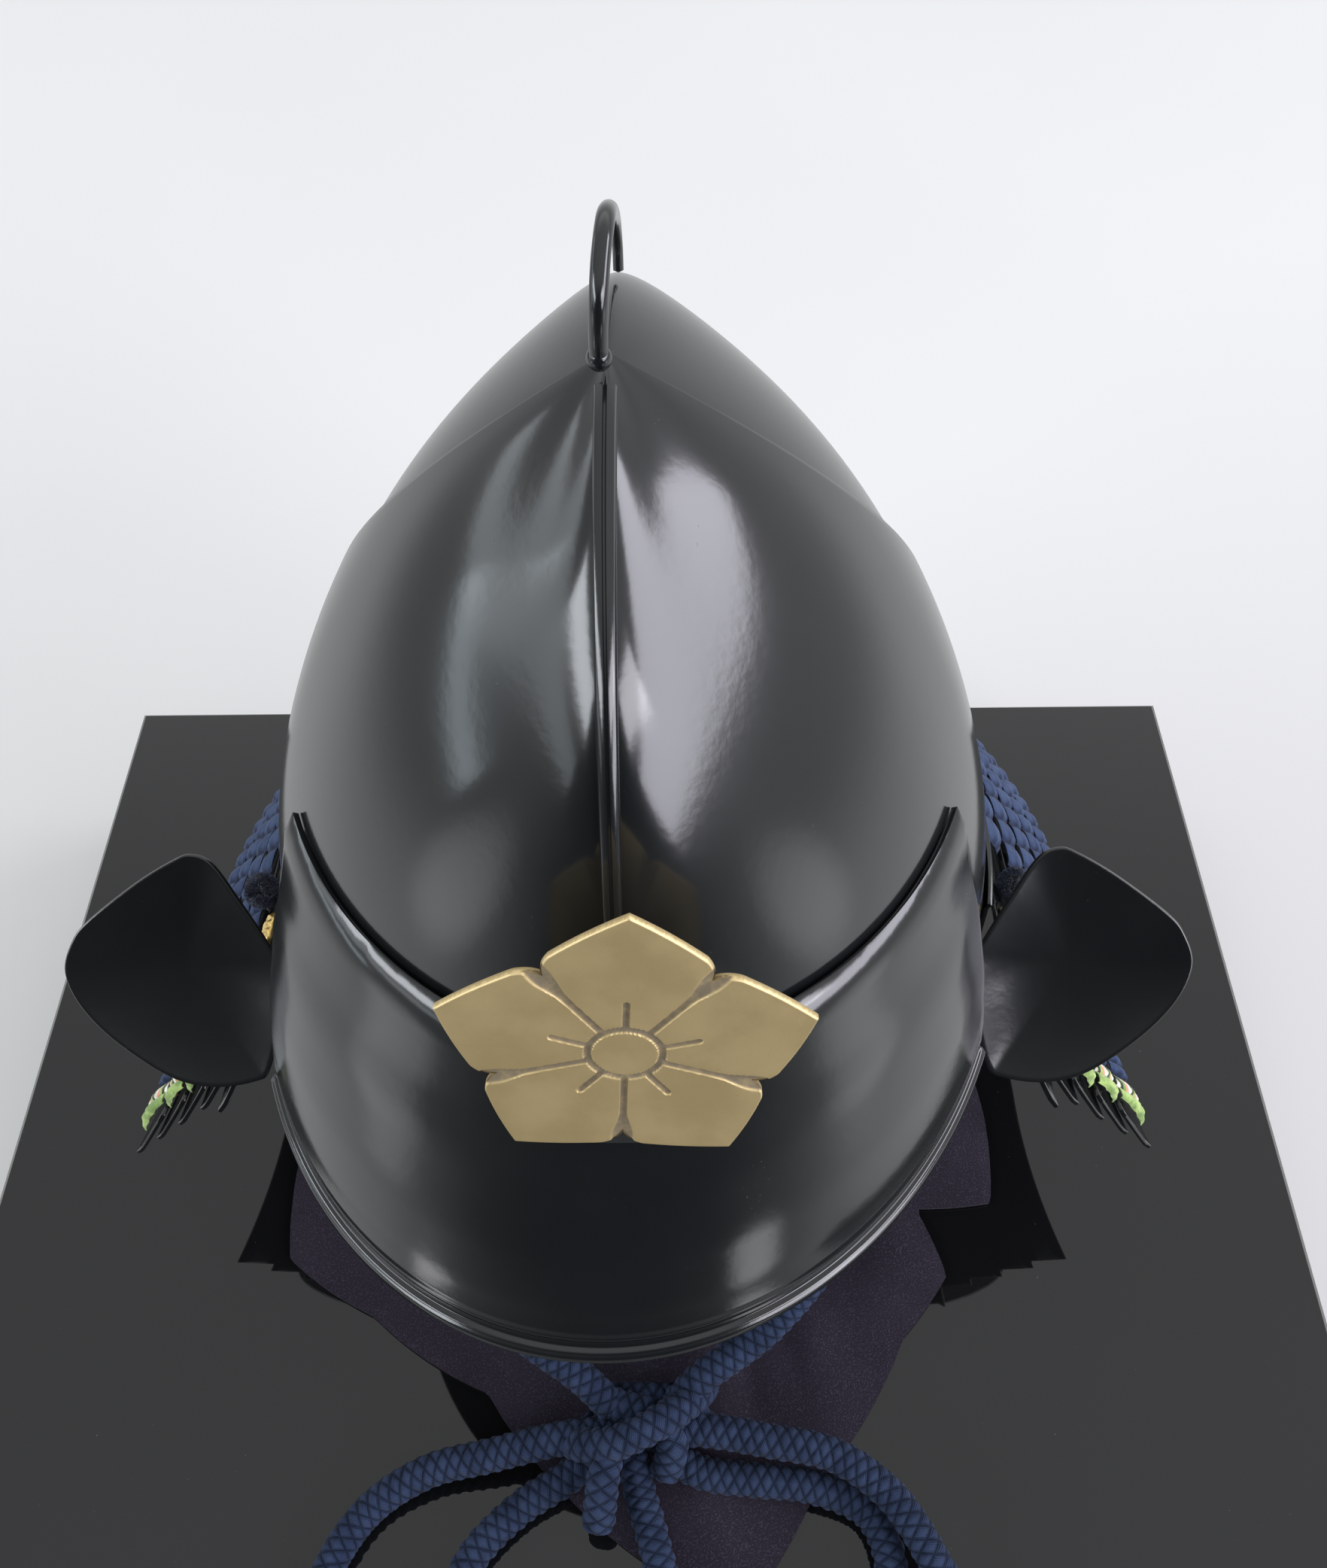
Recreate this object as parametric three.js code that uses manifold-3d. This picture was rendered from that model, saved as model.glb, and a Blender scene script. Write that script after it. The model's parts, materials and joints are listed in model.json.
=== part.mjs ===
// A full-size kabuto, the samurai helmet: a peach-shaped bowl with a deep visor, a laced neck guard
// with turned-back ears, a five-petalled crest, a curled stalk and a tied chin cord.
// It sits on its plain post, which a cloth covers, on a low black display box.
// Millimetres, +Z up, the helmet faces -Y. The origin is the middle of the box's underside.
// Helmet pieces are drawn round the bowl's own upright axis, with heights from the box's top.

import * as THREE from "three";
import * as BufferGeometryUtils from "three/addons/utils/BufferGeometryUtils.js";
import Module from "manifold-3d";

const wasm = await Module();
wasm.setup();

const BOX = { width: 450, depth: 400, height: 80, bevel: 1.5 };
const HELMET = { x: 2, y: 40 };

const GAP = 0.3;
const PLATE = 1.6;

const BOWL = {
  halfWidth: 99.8,
  frontLength: 109,
  rearLength: 135,
  baseHeight: 124,
  summitHeight: 301,
  keelSharpness: 1.8,
  keelPower: 1.6,
  browRise: 44,
};
const SEAM = { baseAngle: 135, topAngle: 95, lap: 7, step: PLATE + 1.1 };

const RIB = { width: 4.2, height: 1, seat: 1.2, thickness: 0.9, topLevel: 0.9955, bottomLevel: 0.46 };

const VISOR = {
  topLevel: 0.445,
  topAngle: 64,
  seat: PLATE + 0.6,
  rimAngle: 64.5,
  rimTurn: -8.9,
  rimHeight: 130,
  rimHalfWidth: 102.3,
  rimLength: 127,
  rimCentre: { x: 0.7, y: -16.7 },
  bulge: 3.2,
};

const BAND = { top: 136, bottom: 107, frontAngle: 76, standOff: 2.1, flare: 0.03 };

// The neck guard: five nested plates, each lower one standing outside the one above.
const GUARD = {
  plates: 5,
  topHeight: 120,
  pitch: 11.2,
  height: 18,
  side: { first: 5.4, step: 8.3, slope: 0.5 },
  rear: { first: 5.4, step: 3.5, slope: 0.12 },
  frontSpread: 8,
  frontLength: 60,
};
const LACING = { seat: 0.45, middle: 4.7, edge: 3.5, height: 9.2, frontY: -48, topRowY: 8 };
const EDGE_BRAID = { height: 9.6, lastHeight: 14, width: 8 };

const CREST = { x: 2.4, y: -109, height: 222.9, radius: 37.5, thickness: 2, bevel: 0.5, lean: 12.3, roll: -3.1 };
const SOCKET = { halfWidth: 6, low: 190, high: 200, visorGap: 0.9 };
const STALK = { radius: 1.9, ball: 2.5, collar: 1.5, ballAt: [-1.1, -6.5, 304.2] };
const EAR = { x: -2.2, lowY: -67.6, lowHeight: 110, run: 46.3, rise: 50, curl: 3 };
const FITTING = { y: -20, height: 115, width: 13, tall: 9, thickness: 1.8, standOff: 1.7 };
const KNOB = { y: -6, height: 116.5, radius: 5, seat: 1 };

const CORD = { radius: 5, sides: 8, step: 22 };
const KNOT = { x: -1, y: -137, height: 15.4, halfWidth: 20, halfDepth: 13, halfHeight: 12 };

const STAND = { baseRadius: 55, baseHeight: 10, postRadius: 11, capLevel: 0.93, capInset: 7.9, capDepth: 12, taper: 0.6 };
const CLOTH = { thickness: 1.5, inset: 5.2, capLevel: 0.89, columns: 36 };

const COLOURS = {
  lacquer: [0x0b0d0f, 0.3, 0.1],
  gold: [0x9a7838, 0.5, 0.75],
  gilt: [0xc79a3c, 0.35, 0.9],
  navy: [0x1c2b52, 0.95, 0],
  braid: [0x7e9a4c, 0.95, 0],
  cloth: [0x33254a, 0.95, 0],
  wood: [0x8a6a48, 0.7, 0],
  box: [0x050506, 0.06, 0],
};

const helmet = new THREE.Group();
helmet.position.set(HELMET.x, HELMET.y, BOX.height);
const object = new THREE.Group();
object.add(helmet);

const rad = THREE.MathUtils.degToRad;
const lerp = THREE.MathUtils.lerp;
const vec = (x, y, z) => new THREE.Vector3(x, y, z);
const steps = (n) => Array.from({ length: n + 1 }, (_, i) => i / n);
const mirrorX = (points) => points.map((p) => vec(-p.x, p.y, p.z));

function add(name, geometry, [color, roughness, metalness], parent = helmet) {
  const material = new THREE.MeshStandardMaterial({ color, roughness, metalness });
  const mesh = new THREE.Mesh(geometry, material);
  mesh.name = name;
  parent.add(mesh);
}

// Welds equal vertices and leaves out the triangles that fell together.
function welded(geometry) {
  const bare = geometry.clone();
  bare.deleteAttribute("normal");
  bare.deleteAttribute("uv");
  const merged = BufferGeometryUtils.mergeVertices(bare, 1e-4);
  const index = merged.index.array;
  const kept = [];
  for (let i = 0; i < index.length; i += 3) {
    const [a, b, c] = index.slice(i, i + 3);
    if (a !== b && b !== c && c !== a) kept.push(a, b, c);
  }
  merged.setIndex(kept);
  return merged;
}

function solid(geometry) {
  const merged = welded(geometry);
  return new wasm.Manifold(new wasm.Mesh({
    numProp: 3,
    vertProperties: Float32Array.from(merged.attributes.position.array),
    triVerts: Uint32Array.from(merged.index.array),
  }));
}

function geometryOf(manifold) {
  const mesh = manifold.getMesh();
  const geometry = new THREE.BufferGeometry();
  geometry.setAttribute("position", new THREE.BufferAttribute(mesh.vertProperties, 3));
  geometry.setIndex(new THREE.BufferAttribute(mesh.triVerts, 1));
  geometry.computeVertexNormals();
  return geometry;
}

// The grid moved inwards by the thickness, along each point's own normal.
function innerGrid(grid, thickness, closed) {
  const columns = grid.length;
  const rows = grid[0].length;
  const at = (i, j) => {
    const column = closed ? (i + columns) % columns : THREE.MathUtils.clamp(i, 0, columns - 1);
    return grid[column][THREE.MathUtils.clamp(j, 0, rows - 1)];
  };
  return grid.map((column, i) => column.map((point, j) => {
    const across = at(i + 1, j).clone().sub(at(i - 1, j));
    const along = at(i, j + 1).clone().sub(at(i, j - 1));
    const normal = across.cross(along);
    if (normal.length() < 1e-6) normal.set(0, 0, 1);
    return point.clone().addScaledVector(normal.normalize(), -thickness);
  }));
}

// A wall between a grid of points and an inner grid, which may be given as a thickness. Rows run so
// that (next column - point) x (next row - point) looks outwards. A closed grid joins up its ends.
function wall(grid, inside, closed = false) {
  const columns = grid.length;
  const rows = grid[0].length;
  const inner = typeof inside === "number" ? innerGrid(grid, inside, closed) : inside;
  const positions = [];
  const quad = (a, b, c, d) => {
    for (const p of [a, b, c, a, c, d]) positions.push(p.x, p.y, p.z);
  };
  const spans = closed ? columns : columns - 1;
  for (let i = 0; i < spans; i++) {
    const next = (i + 1) % columns;
    for (let j = 0; j < rows - 1; j++) {
      quad(grid[i][j], grid[next][j], grid[next][j + 1], grid[i][j + 1]);
      quad(inner[i][j + 1], inner[next][j + 1], inner[next][j], inner[i][j]);
    }
    quad(inner[i][0], inner[next][0], grid[next][0], grid[i][0]);
    quad(grid[i][rows - 1], grid[next][rows - 1], inner[next][rows - 1], inner[i][rows - 1]);
  }
  if (!closed) {
    const last = columns - 1;
    for (let j = 0; j < rows - 1; j++) {
      quad(inner[0][j], grid[0][j], grid[0][j + 1], inner[0][j + 1]);
      quad(grid[last][j], inner[last][j], inner[last][j + 1], grid[last][j + 1]);
    }
  }
  const geometry = new THREE.BufferGeometry();
  geometry.setAttribute("position", new THREE.Float32BufferAttribute(positions, 3));
  const merged = welded(geometry);
  merged.computeVertexNormals();
  return merged;
}

const BOWL_RISE = BOWL.summitHeight - BOWL.baseHeight;

// The bowl: an ellipse in plan, longer behind; from the front it is a pointed arch and from the
// side a round dome, so a keel runs from front to back over the summit. Angle 0 looks forward.
function bowlPoint(angle, level, inset = 0) {
  const s = Math.sin(angle);
  const c = Math.cos(angle);
  const length = (c > 0 ? BOWL.frontLength : BOWL.rearLength) - inset;
  const reach = 1 / Math.hypot(s / (BOWL.halfWidth - inset), c / length);
  const keel = 1 + BOWL.keelSharpness * Math.abs(s) ** BOWL.keelPower;
  const rise = BOWL_RISE - inset;
  const share = Math.sqrt(Math.max(keel ** 2 - (2 * keel - 1) * level ** 2, 0)) - (keel - 1);
  return vec(reach * share * s, -reach * share * c, BOWL.baseHeight + level * rise);
}

const seamAngle = (level) => rad(lerp(SEAM.baseAngle, SEAM.topAngle, level));

// The brow is cut higher than the sides, where the visor takes over.
function browLevel(angle) {
  return BOWL.browRise * Math.max(Math.cos(angle), 0) ** 2 / BOWL_RISE;
}

// Rows crowd towards the summit, where the bowl turns over.
const bowlRows = (n) => steps(n).map((t) => Math.sin(t * Math.PI / 2));

function frontPlates() {
  const surface = (inset) => steps(40).map((t) => bowlRows(12).map((row) => {
    const base = browLevel(lerp(-1, 1, t) * seamAngle(0));
    const level = lerp(base, 1, row);
    return bowlPoint(lerp(-1, 1, t) * seamAngle(level), level, inset);
  }));
  return wall(surface(0), surface(PLATE));
}

function rearPlates() {
  const surface = (inset) => steps(26).map((t) => bowlRows(12).map((level) => {
    const start = seamAngle(level) - rad(SEAM.lap);
    return bowlPoint(lerp(start, 2 * Math.PI - start, t), level, SEAM.step + inset);
  }));
  return wall(surface(0), surface(PLATE));
}

function ridgeRib() {
  const profile = [[-1, 0], [-0.72, 0.8], [0, 1], [0.72, 0.8], [1, 0]];
  const grid = profile.map(([side, lift]) => steps(16).map((t) => {
    const level = Math.sin(lerp(Math.asin(RIB.bottomLevel), Math.asin(RIB.topLevel), t));
    const point = bowlPoint(0, level);
    const out = vec(0, point.y / BOWL.frontLength ** 2, (point.z - BOWL.baseHeight) / BOWL_RISE ** 2);
    point.addScaledVector(out.normalize(), RIB.seat + lift * RIB.height);
    point.x += side * RIB.width / 2;
    return point;
  }));
  return wall(grid, RIB.thickness);
}

// The visor: its top edge lies level on the bowl. Its rim is an ellipse that juts forward and is
// turned a little. A bead and a shallow groove run along the rim.
const VISOR_PROFILE = [
  { down: 0, lift: 0 },
  { down: 0.05, lift: 0.5 },
  { down: 0.2, lift: 0.6 },
  { down: 0.4, lift: 1 },
  { down: 0.6, lift: 1 },
  { down: 0.78, lift: 0.7 },
  { down: 0.9, lift: 0.25 },
  { down: 0.94, lift: 0 },
  { down: 0.965, lift: 0.35 },
  { down: 1, lift: 0.3 },
];

function rimPoint(side) {
  const turn = rad(VISOR.rimTurn);
  const angle = rad(side * VISOR.rimAngle) - turn;
  return vec(VISOR.rimHalfWidth * Math.sin(angle), -VISOR.rimLength * Math.cos(angle), VISOR.rimHeight)
    .applyAxisAngle(vec(0, 0, 1), turn).add(vec(VISOR.rimCentre.x, VISOR.rimCentre.y, 0));
}

function visorPoint(side, down, lift) {
  const topAngle = rad(side * VISOR.topAngle);
  const top = bowlPoint(topAngle, VISOR.topLevel, -VISOR.seat);
  top.z = BOWL.baseHeight + VISOR.topLevel * BOWL_RISE;
  const point = top.lerp(rimPoint(side), down);
  const outward = vec(Math.sin(topAngle), -Math.cos(topAngle), 0.5).normalize();
  return point.addScaledVector(outward, lift * VISOR.bulge);
}

function visor() {
  const grid = steps(34).map((t) => [...VISOR_PROFILE].reverse()
    .map(({ down, lift }) => visorPoint(lerp(-1, 1, t), down, lift)));
  return wall(grid, PLATE);
}

function waistBand() {
  const start = rad(BAND.frontAngle);
  const grid = steps(30).map((t) => [BAND.bottom, lerp(BAND.bottom, BAND.top, 0.5), BAND.top].map((z) => {
    const point = bowlPoint(lerp(start, 2 * Math.PI - start, t), 0);
    const out = vec(point.x, point.y, 0).normalize();
    point.addScaledVector(out, BAND.standOff + (BAND.top - z) * BAND.flare);
    point.z = z;
    return point;
  }));
  return wall(grid, PLATE);
}

// Plan of the neck guard: an ellipse behind, nearly straight sides in front. The run goes from -1
// at the right front end round the back to 1 at the left front end.
const FRONT_SHARE = 0.3;

// The sides spread a little towards their front ends, the lower plates more.
function spreadAt(sideOffset, y) {
  return GUARD.frontSpread * (y / GUARD.frontLength) ** 2 * sideOffset / 45;
}

function guardPlan(sideOffset, rearOffset, run, frontY) {
  const halfWidth = BOWL.halfWidth + sideOffset;
  const side = -Math.sign(run) || 1;
  const along = Math.abs(run);
  if (along > 1 - FRONT_SHARE) {
    const y = frontY * (along - (1 - FRONT_SHARE)) / FRONT_SHARE;
    return { x: side * (halfWidth + spreadAt(sideOffset, y)), y };
  }
  const angle = along / (1 - FRONT_SHARE) * Math.PI / 2;
  return { x: side * halfWidth * Math.sin(angle), y: (BOWL.rearLength + rearOffset) * Math.cos(angle) };
}

const earY = (z) => EAR.lowY + (z - EAR.lowHeight) * EAR.run / EAR.rise;
const guardTop = (k) => GUARD.topHeight - k * GUARD.pitch;
const guardOffset = (k, z, { first, step, slope }) => first + k * step + (guardTop(k) - z) * slope;
const guardFront = (k, z) => (k === 0 ? earY(z) + 5 : -60 + (z - guardTop(k)) * 0.25);

// A grid on plate k: one lift off its face for each height.
function guardGrid(k, columns, heights, lifts, from, to) {
  return steps(columns).map((t) => heights.map((z, j) => {
    const sideOffset = guardOffset(k, z, GUARD.side) + lifts[j];
    const rearOffset = guardOffset(k, z, GUARD.rear) + lifts[j];
    const { x, y } = guardPlan(sideOffset, rearOffset, lerp(from, to, t), guardFront(k, z));
    return vec(x, y, z);
  }));
}

function guardPlate(k) {
  const top = guardTop(k);
  return wall(guardGrid(k, 34, [top - GUARD.height, top - GUARD.height / 2, top], [0, 0, 0], -1, 1), PLATE);
}

// Padding on the face of plate k, from its top edge down: a row of lacing or an edge braid.
function padding(k, height, columns, from, to) {
  const top = guardTop(k) - 0.4;
  const heights = [top - height, top - height / 2, top];
  const { seat, middle, edge } = LACING;
  return wall(guardGrid(k, columns, heights, [edge, middle, edge], from, to),
    guardGrid(k, columns, heights, [seat, seat, seat], from, to));
}

// The run at which a plate's straight side, or its curved back, has the given y.
function runAt(k, y) {
  if (y < 0) return 1 - FRONT_SHARE + FRONT_SHARE * y / guardFront(k, guardTop(k) - LACING.height / 2);
  return Math.acos(y / BOWL.rearLength) / (Math.PI / 2) * (1 - FRONT_SHARE);
}

// The top row ends behind the knob.
function lacingRow(k) {
  const limit = runAt(k, k === 0 ? LACING.topRowY : LACING.frontY);
  return padding(k, LACING.height, 32, -limit, limit);
}

function edgeBraid(k, side) {
  const near = runAt(k, LACING.frontY - 1);
  const far = runAt(k, LACING.frontY - 1 - EDGE_BRAID.width);
  const height = k === GUARD.plates - 1 ? EDGE_BRAID.lastHeight : EDGE_BRAID.height;
  return side > 0 ? padding(k, height, 3, -far, -near) : padding(k, height, 3, near, far);
}

// The ear's outline on its own leaning plane: "out" from the middle plane, "up" along the lean.
const EAR_OUTLINE = [
  { out: 99.5, up: 6.2 },
  { out: 103.5, up: 3 },
  { out: 115, up: 1.4 },
  { out: 127, up: 4.4 },
  { out: 141, up: 14.6 },
  { out: 150, up: 25 },
  { out: 153.6, up: 35 },
  { out: 151, up: 43.5 },
  { out: 146, up: 49.5 },
  { out: 132, up: 60 },
  { out: 121.5, up: 66.2 },
  { out: 116.5, up: 67.8 },
  { out: 111, up: 65.2 },
  { out: 104.5, up: 55 },
  { out: 97.6, up: 43 },
  { out: 93.8, up: 34 },
  { out: 96, up: 20 },
];

// The ear as a fan of rings round its middle, a little dished.
function ear(side) {
  const count = EAR_OUTLINE.length;
  const middle = EAR_OUTLINE.reduce((sum, p) => ({ out: sum.out + p.out / count, up: sum.up + p.up / count }),
    { out: 0, up: 0 });
  const slant = Math.hypot(EAR.run, EAR.rise);
  const back = vec(0, EAR.rise, -EAR.run).normalize();
  const grid = [...EAR_OUTLINE.keys()].map((i) => [1, 0.66, 0.33, 0].map((share) => {
    const p = EAR_OUTLINE[side > 0 ? i : count - 1 - i];
    const out = lerp(middle.out, p.out, share);
    const up = lerp(middle.up, p.up, share) / slant;
    const point = vec(EAR.x + side * out, EAR.lowY + up * EAR.run, EAR.lowHeight + up * EAR.rise);
    return point.addScaledVector(back, EAR.curl * (1 - share ** 2));
  }));
  return wall(grid, PLATE, true);
}

function petalledShape(radius) {
  const at = (angle, r) => new THREE.Vector2(Math.sin(rad(angle)) * r * radius, Math.cos(rad(angle)) * r * radius);
  const shape = new THREE.Shape();
  const start = at(0, 1);
  shape.moveTo(start.x, start.y);
  for (let petal = 0; petal < 5; petal++) {
    const turn = petal * 72;
    const curves = [
      [at(turn + 13, 0.9), at(turn + 28, 0.81)],
      [at(turn + 34.5, 0.77), at(turn + 36, 0.7)],
      [at(turn + 37.5, 0.77), at(turn + 44, 0.81)],
      [at(turn + 59, 0.9), at(turn + 72, 1)],
    ];
    for (const [c, p] of curves) shape.quadraticCurveTo(c.x, c.y, p.x, p.y);
  }
  return shape;
}

// The crest stands upright, leaning back and rolled a little, with its face at CREST.y.
function crest() {
  const { thickness, bevel } = CREST;
  const geometry = new THREE.ExtrudeGeometry(petalledShape(CREST.radius - bevel), { depth: thickness - 2 * bevel,
    bevelThickness: bevel, bevelSize: bevel, bevelSegments: 1, curveSegments: 3 });
  geometry.translate(0, 0, bevel - thickness);
  geometry.rotateZ(rad(CREST.roll));
  geometry.rotateX(Math.PI / 2 - rad(CREST.lean));
  return geometry.translate(CREST.x, CREST.y, CREST.height);
}

// A wedge between the visor's front and the crest's back carries the crest.
function crestSocket() {
  const { halfWidth, low, high, visorGap } = SOCKET;
  const crestBack = (z) => CREST.y + (z - CREST.height) * Math.tan(rad(CREST.lean))
    + (CREST.thickness + GAP) / Math.cos(rad(CREST.lean));
  const visorFront = (z) => {
    const down = 1 - (z - VISOR.rimHeight) / (visorPoint(0, 0, 0).z - VISOR.rimHeight);
    return visorPoint(0, down, 0.7).y - visorGap;
  };
  const corners = [[crestBack(low), low], [visorFront(low), low], [visorFront(high), high], [crestBack(high), high]];
  const shape = new THREE.Shape(corners.map(([x, y]) => new THREE.Vector2(x, y)));
  const geometry = new THREE.ExtrudeGeometry(shape, { depth: 2 * halfWidth, bevelEnabled: false });
  const axes = new THREE.Matrix4().makeBasis(vec(0, 1, 0), vec(0, 0, 1), vec(1, 0, 0));
  return geometry.applyMatrix4(axes).translate(CREST.x - halfWidth, 0, 0);
}

function tube(points, radius, sides, stepCount) {
  const section = new THREE.Shape();
  for (let i = 0; i < sides; i++) {
    const angle = (i / sides) * 2 * Math.PI;
    const [x, y] = [radius * Math.cos(angle), radius * Math.sin(angle)];
    if (i) section.lineTo(x, y);
    else section.moveTo(x, y);
  }
  section.closePath();
  const path = new THREE.CatmullRomCurve3(points);
  return new THREE.ExtrudeGeometry(section, { steps: stepCount, extrudePath: path, bevelEnabled: false });
}

// The stalk rises far behind the summit, curls over it and ends in a small ball on a collar.
const STALK_PATH = [vec(0.9, 42.4, 290.5), vec(0.9, 43.6, 296), vec(0.9, 38.5, 304.5), vec(0.9, 28, 312.8),
  vec(0.8, 16, 320.4), vec(0.6, 7, 323.3), vec(-0.1, -1, 320.5), vec(-0.6, -6, 315), vec(-1, -7, 308),
  vec(...STALK.ballAt)];

function stalk() {
  const [x, y, z] = STALK.ballAt;
  const foot = BOWL.summitHeight + GAP;
  const rod = solid(tube(STALK_PATH, STALK.radius, 10, 32));
  const ball = new THREE.SphereGeometry(STALK.ball, 14, 10).translate(x, y, z);
  const collar = cylinder(STALK.collar, foot, z, 12).translate(x, y, 0);
  return geometryOf(rod.add(solid(ball)).add(solid(collar)));
}

function ellipsoid(x, y, z, a, b, c, columns, rows) {
  return new THREE.SphereGeometry(1, columns, rows).scale(a, b, c).translate(x, y, z);
}

function onFirstPlate(y, z) {
  const offset = guardOffset(0, z, GUARD.side);
  return BOWL.halfWidth + offset + spreadAt(offset, y);
}

function giltFitting(side) {
  const { y, height, width, tall, thickness, standOff } = FITTING;
  const x = onFirstPlate(y, height) + standOff;
  const geometry = new THREE.CylinderGeometry(tall / 2, tall / 2 - 1, thickness, 16);
  geometry.rotateZ(-Math.PI / 2).scale(1, width / tall, 1);
  geometry.rotateY(-Math.atan(GUARD.side.slope)).translate(x, y, height);
  return side > 0 ? geometry : geometry.rotateZ(Math.PI).translate(0, 2 * y, 0);
}

function knob(side) {
  const x = onFirstPlate(KNOB.y, KNOB.height) + KNOB.radius + KNOB.seat;
  return ellipsoid(side * x, KNOB.y, KNOB.height, KNOB.radius, KNOB.radius, KNOB.radius, 12, 8);
}

// The chin cord's stretches. Each begins inside the knot, and what lies in the knot is cut away.
const TIE = vec(KNOT.x, KNOT.y, KNOT.height);
const STRAND = [vec(-88, -20, 104), vec(-84, -42, 84), vec(-66, -82, 54), vec(-40, -110, 33), vec(-18, -124, 25),
  vec(-8, -132, 19)];
const CORDS = {
  chin_cord_left: STRAND,
  chin_cord_right: mirrorX(STRAND),
  bow_loop_left: [vec(-6, -137, 17), vec(-24, -139, 17), vec(-46, -143, 13), vec(-66, -147, 9),
    vec(-83, -157, 5.4), vec(-93, -173, 5.4), vec(-96, -192, 5.4), vec(-86, -207, 5.4), vec(-68, -205, 5.4),
    vec(-58, -188, 5.4), vec(-51, -170, 5.4), vec(-38, -157, 6), vec(-24, -149, 8.5), vec(-10, -141, 12)],
  bow_loop_right: [vec(4, -136, 16), vec(20, -137, 17.2), vec(38, -140, 18), vec(58, -144, 17),
    vec(74, -155, 15.8), vec(85, -172, 14), vec(94, -190, 8), vec(96, -208, 5.4), vec(83, -219, 5.4),
    vec(68, -210, 5.4), vec(67, -191, 5.4), vec(73, -172, 5.4), vec(68, -158, 5.4), vec(52, -151, 7.4),
    vec(34, -149, 7.9), vec(18, -147, 7.9), vec(6, -141, 10)],
  tail_long: [vec(-3, -141, 12), vec(-1, -152, 8.4), vec(2, -161, 7.6), vec(6, -174, 7.6), vec(12, -190, 7.6),
    vec(17, -203, 7), vec(20, -213, 6)],
  tail_short: [vec(-9, -139, 22), vec(-11, -149, 22), vec(-12, -156, 19), vec(-13, -163, 13)],
};

function knotBody(grow = 0) {
  const { halfWidth, halfDepth, halfHeight } = KNOT;
  return ellipsoid(TIE.x, TIE.y, TIE.z, halfWidth + grow, halfDepth + grow, halfHeight + grow, 16, 10);
}

function cordPiece(points) {
  const length = new THREE.CatmullRomCurve3(points).getLength();
  const raw = tube(points, CORD.radius, CORD.sides, Math.ceil(length / CORD.step));
  return geometryOf(solid(raw).subtract(solid(knotBody(0.7))));
}

function standCap() {
  const rows = [STAND.capLevel, 0.96, 0.985, 1];
  const outer = steps(24).slice(0, -1).map((t) => rows
    .map((level) => bowlPoint(t * 2 * Math.PI, level, STAND.capInset)));
  const positions = [];
  const face = (...points) => points.forEach((p) => positions.push(p.x, p.y, p.z));
  const low = outer[0][0].z - STAND.capDepth;
  const foot = vec(0, 0, low);
  outer.forEach((column, i) => {
    const next = outer[(i + 1) % outer.length];
    for (let j = 0; j < rows.length - 1; j++) {
      face(column[j], next[j], next[j + 1]);
      face(column[j], next[j + 1], column[j + 1]);
    }
    const a = vec(column[0].x * STAND.taper, column[0].y * STAND.taper, low);
    const b = vec(next[0].x * STAND.taper, next[0].y * STAND.taper, low);
    face(a, b, next[0]);
    face(a, next[0], column[0]);
    face(foot, b, a);
  });
  const geometry = new THREE.BufferGeometry();
  geometry.setAttribute("position", new THREE.Float32BufferAttribute(positions, 3));
  const merged = welded(geometry);
  merged.computeVertexNormals();
  return merged;
}

// Where the cloth's edge lies on the box, by the angle from the front towards +X.
const CLOTH_EDGE = [
  { angle: -180, reach: 112 },
  { angle: -135, reach: 150 },
  { angle: -98, reach: 112 },
  { angle: -72, reach: 128 },
  { angle: -56, reach: 145 },
  { angle: -42, reach: 134 },
  { angle: -22, reach: 133 },
  { angle: -10, reach: 152 },
  { angle: 9, reach: 186 },
  { angle: 20, reach: 158 },
  { angle: 38, reach: 136 },
  { angle: 49, reach: 133 },
  { angle: 55, reach: 113 },
  { angle: 62, reach: 134 },
  { angle: 76, reach: 124 },
  { angle: 98, reach: 108 },
  { angle: 135, reach: 150 },
];

// The cloth's fall from the cap to the box: how far out it stands at each height.
const CLOTH_FALL = [
  { height: 250, out: 46 },
  { height: 180, out: 44 },
  { height: 110, out: 52 },
  { height: 55, out: 64 },
  { height: 18, out: 80 },
  { height: 2.6, out: 96 },
];

// The reach at any angle, straight between the table's rows.
function clothReach(angle) {
  const rows = [...CLOTH_EDGE, { angle: CLOTH_EDGE[0].angle + 360, reach: CLOTH_EDGE[0].reach }];
  const next = rows.findIndex((row) => row.angle > angle);
  const [a, b] = [rows[next - 1], rows[next]];
  return lerp(a.reach, b.reach, (angle - a.angle) / (b.angle - a.angle));
}

function clothCover() {
  const grid = steps(CLOTH.columns).slice(0, -1).map((t) => {
    const angle = -180 + 360 * t;
    const outwards = vec(Math.sin(rad(angle)), -Math.cos(rad(angle)), 0);
    const column = [outwards.clone().multiplyScalar(clothReach(angle)).setZ(2)];
    for (const { height, out } of [...CLOTH_FALL].reverse()) {
      column.push(outwards.clone().multiplyScalar(out).setZ(height));
    }
    for (const level of [CLOTH.capLevel, 0.93, 0.97, 1]) column.push(bowlPoint(rad(angle), level, CLOTH.inset));
    return column;
  });
  return wall(grid, CLOTH.thickness, true);
}

function displayBox() {
  const { width, depth, height, bevel } = BOX;
  const [w, d] = [width / 2 - bevel, depth / 2 - bevel];
  const shape = new THREE.Shape([[-w, -d], [w, -d], [w, d], [-w, d]].map(([x, y]) => new THREE.Vector2(x, y)));
  const geometry = new THREE.ExtrudeGeometry(shape,
    { depth: height - 2 * bevel, bevelThickness: bevel, bevelSize: bevel, bevelSegments: 1 });
  return geometry.translate(0, 0, bevel);
}

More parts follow.
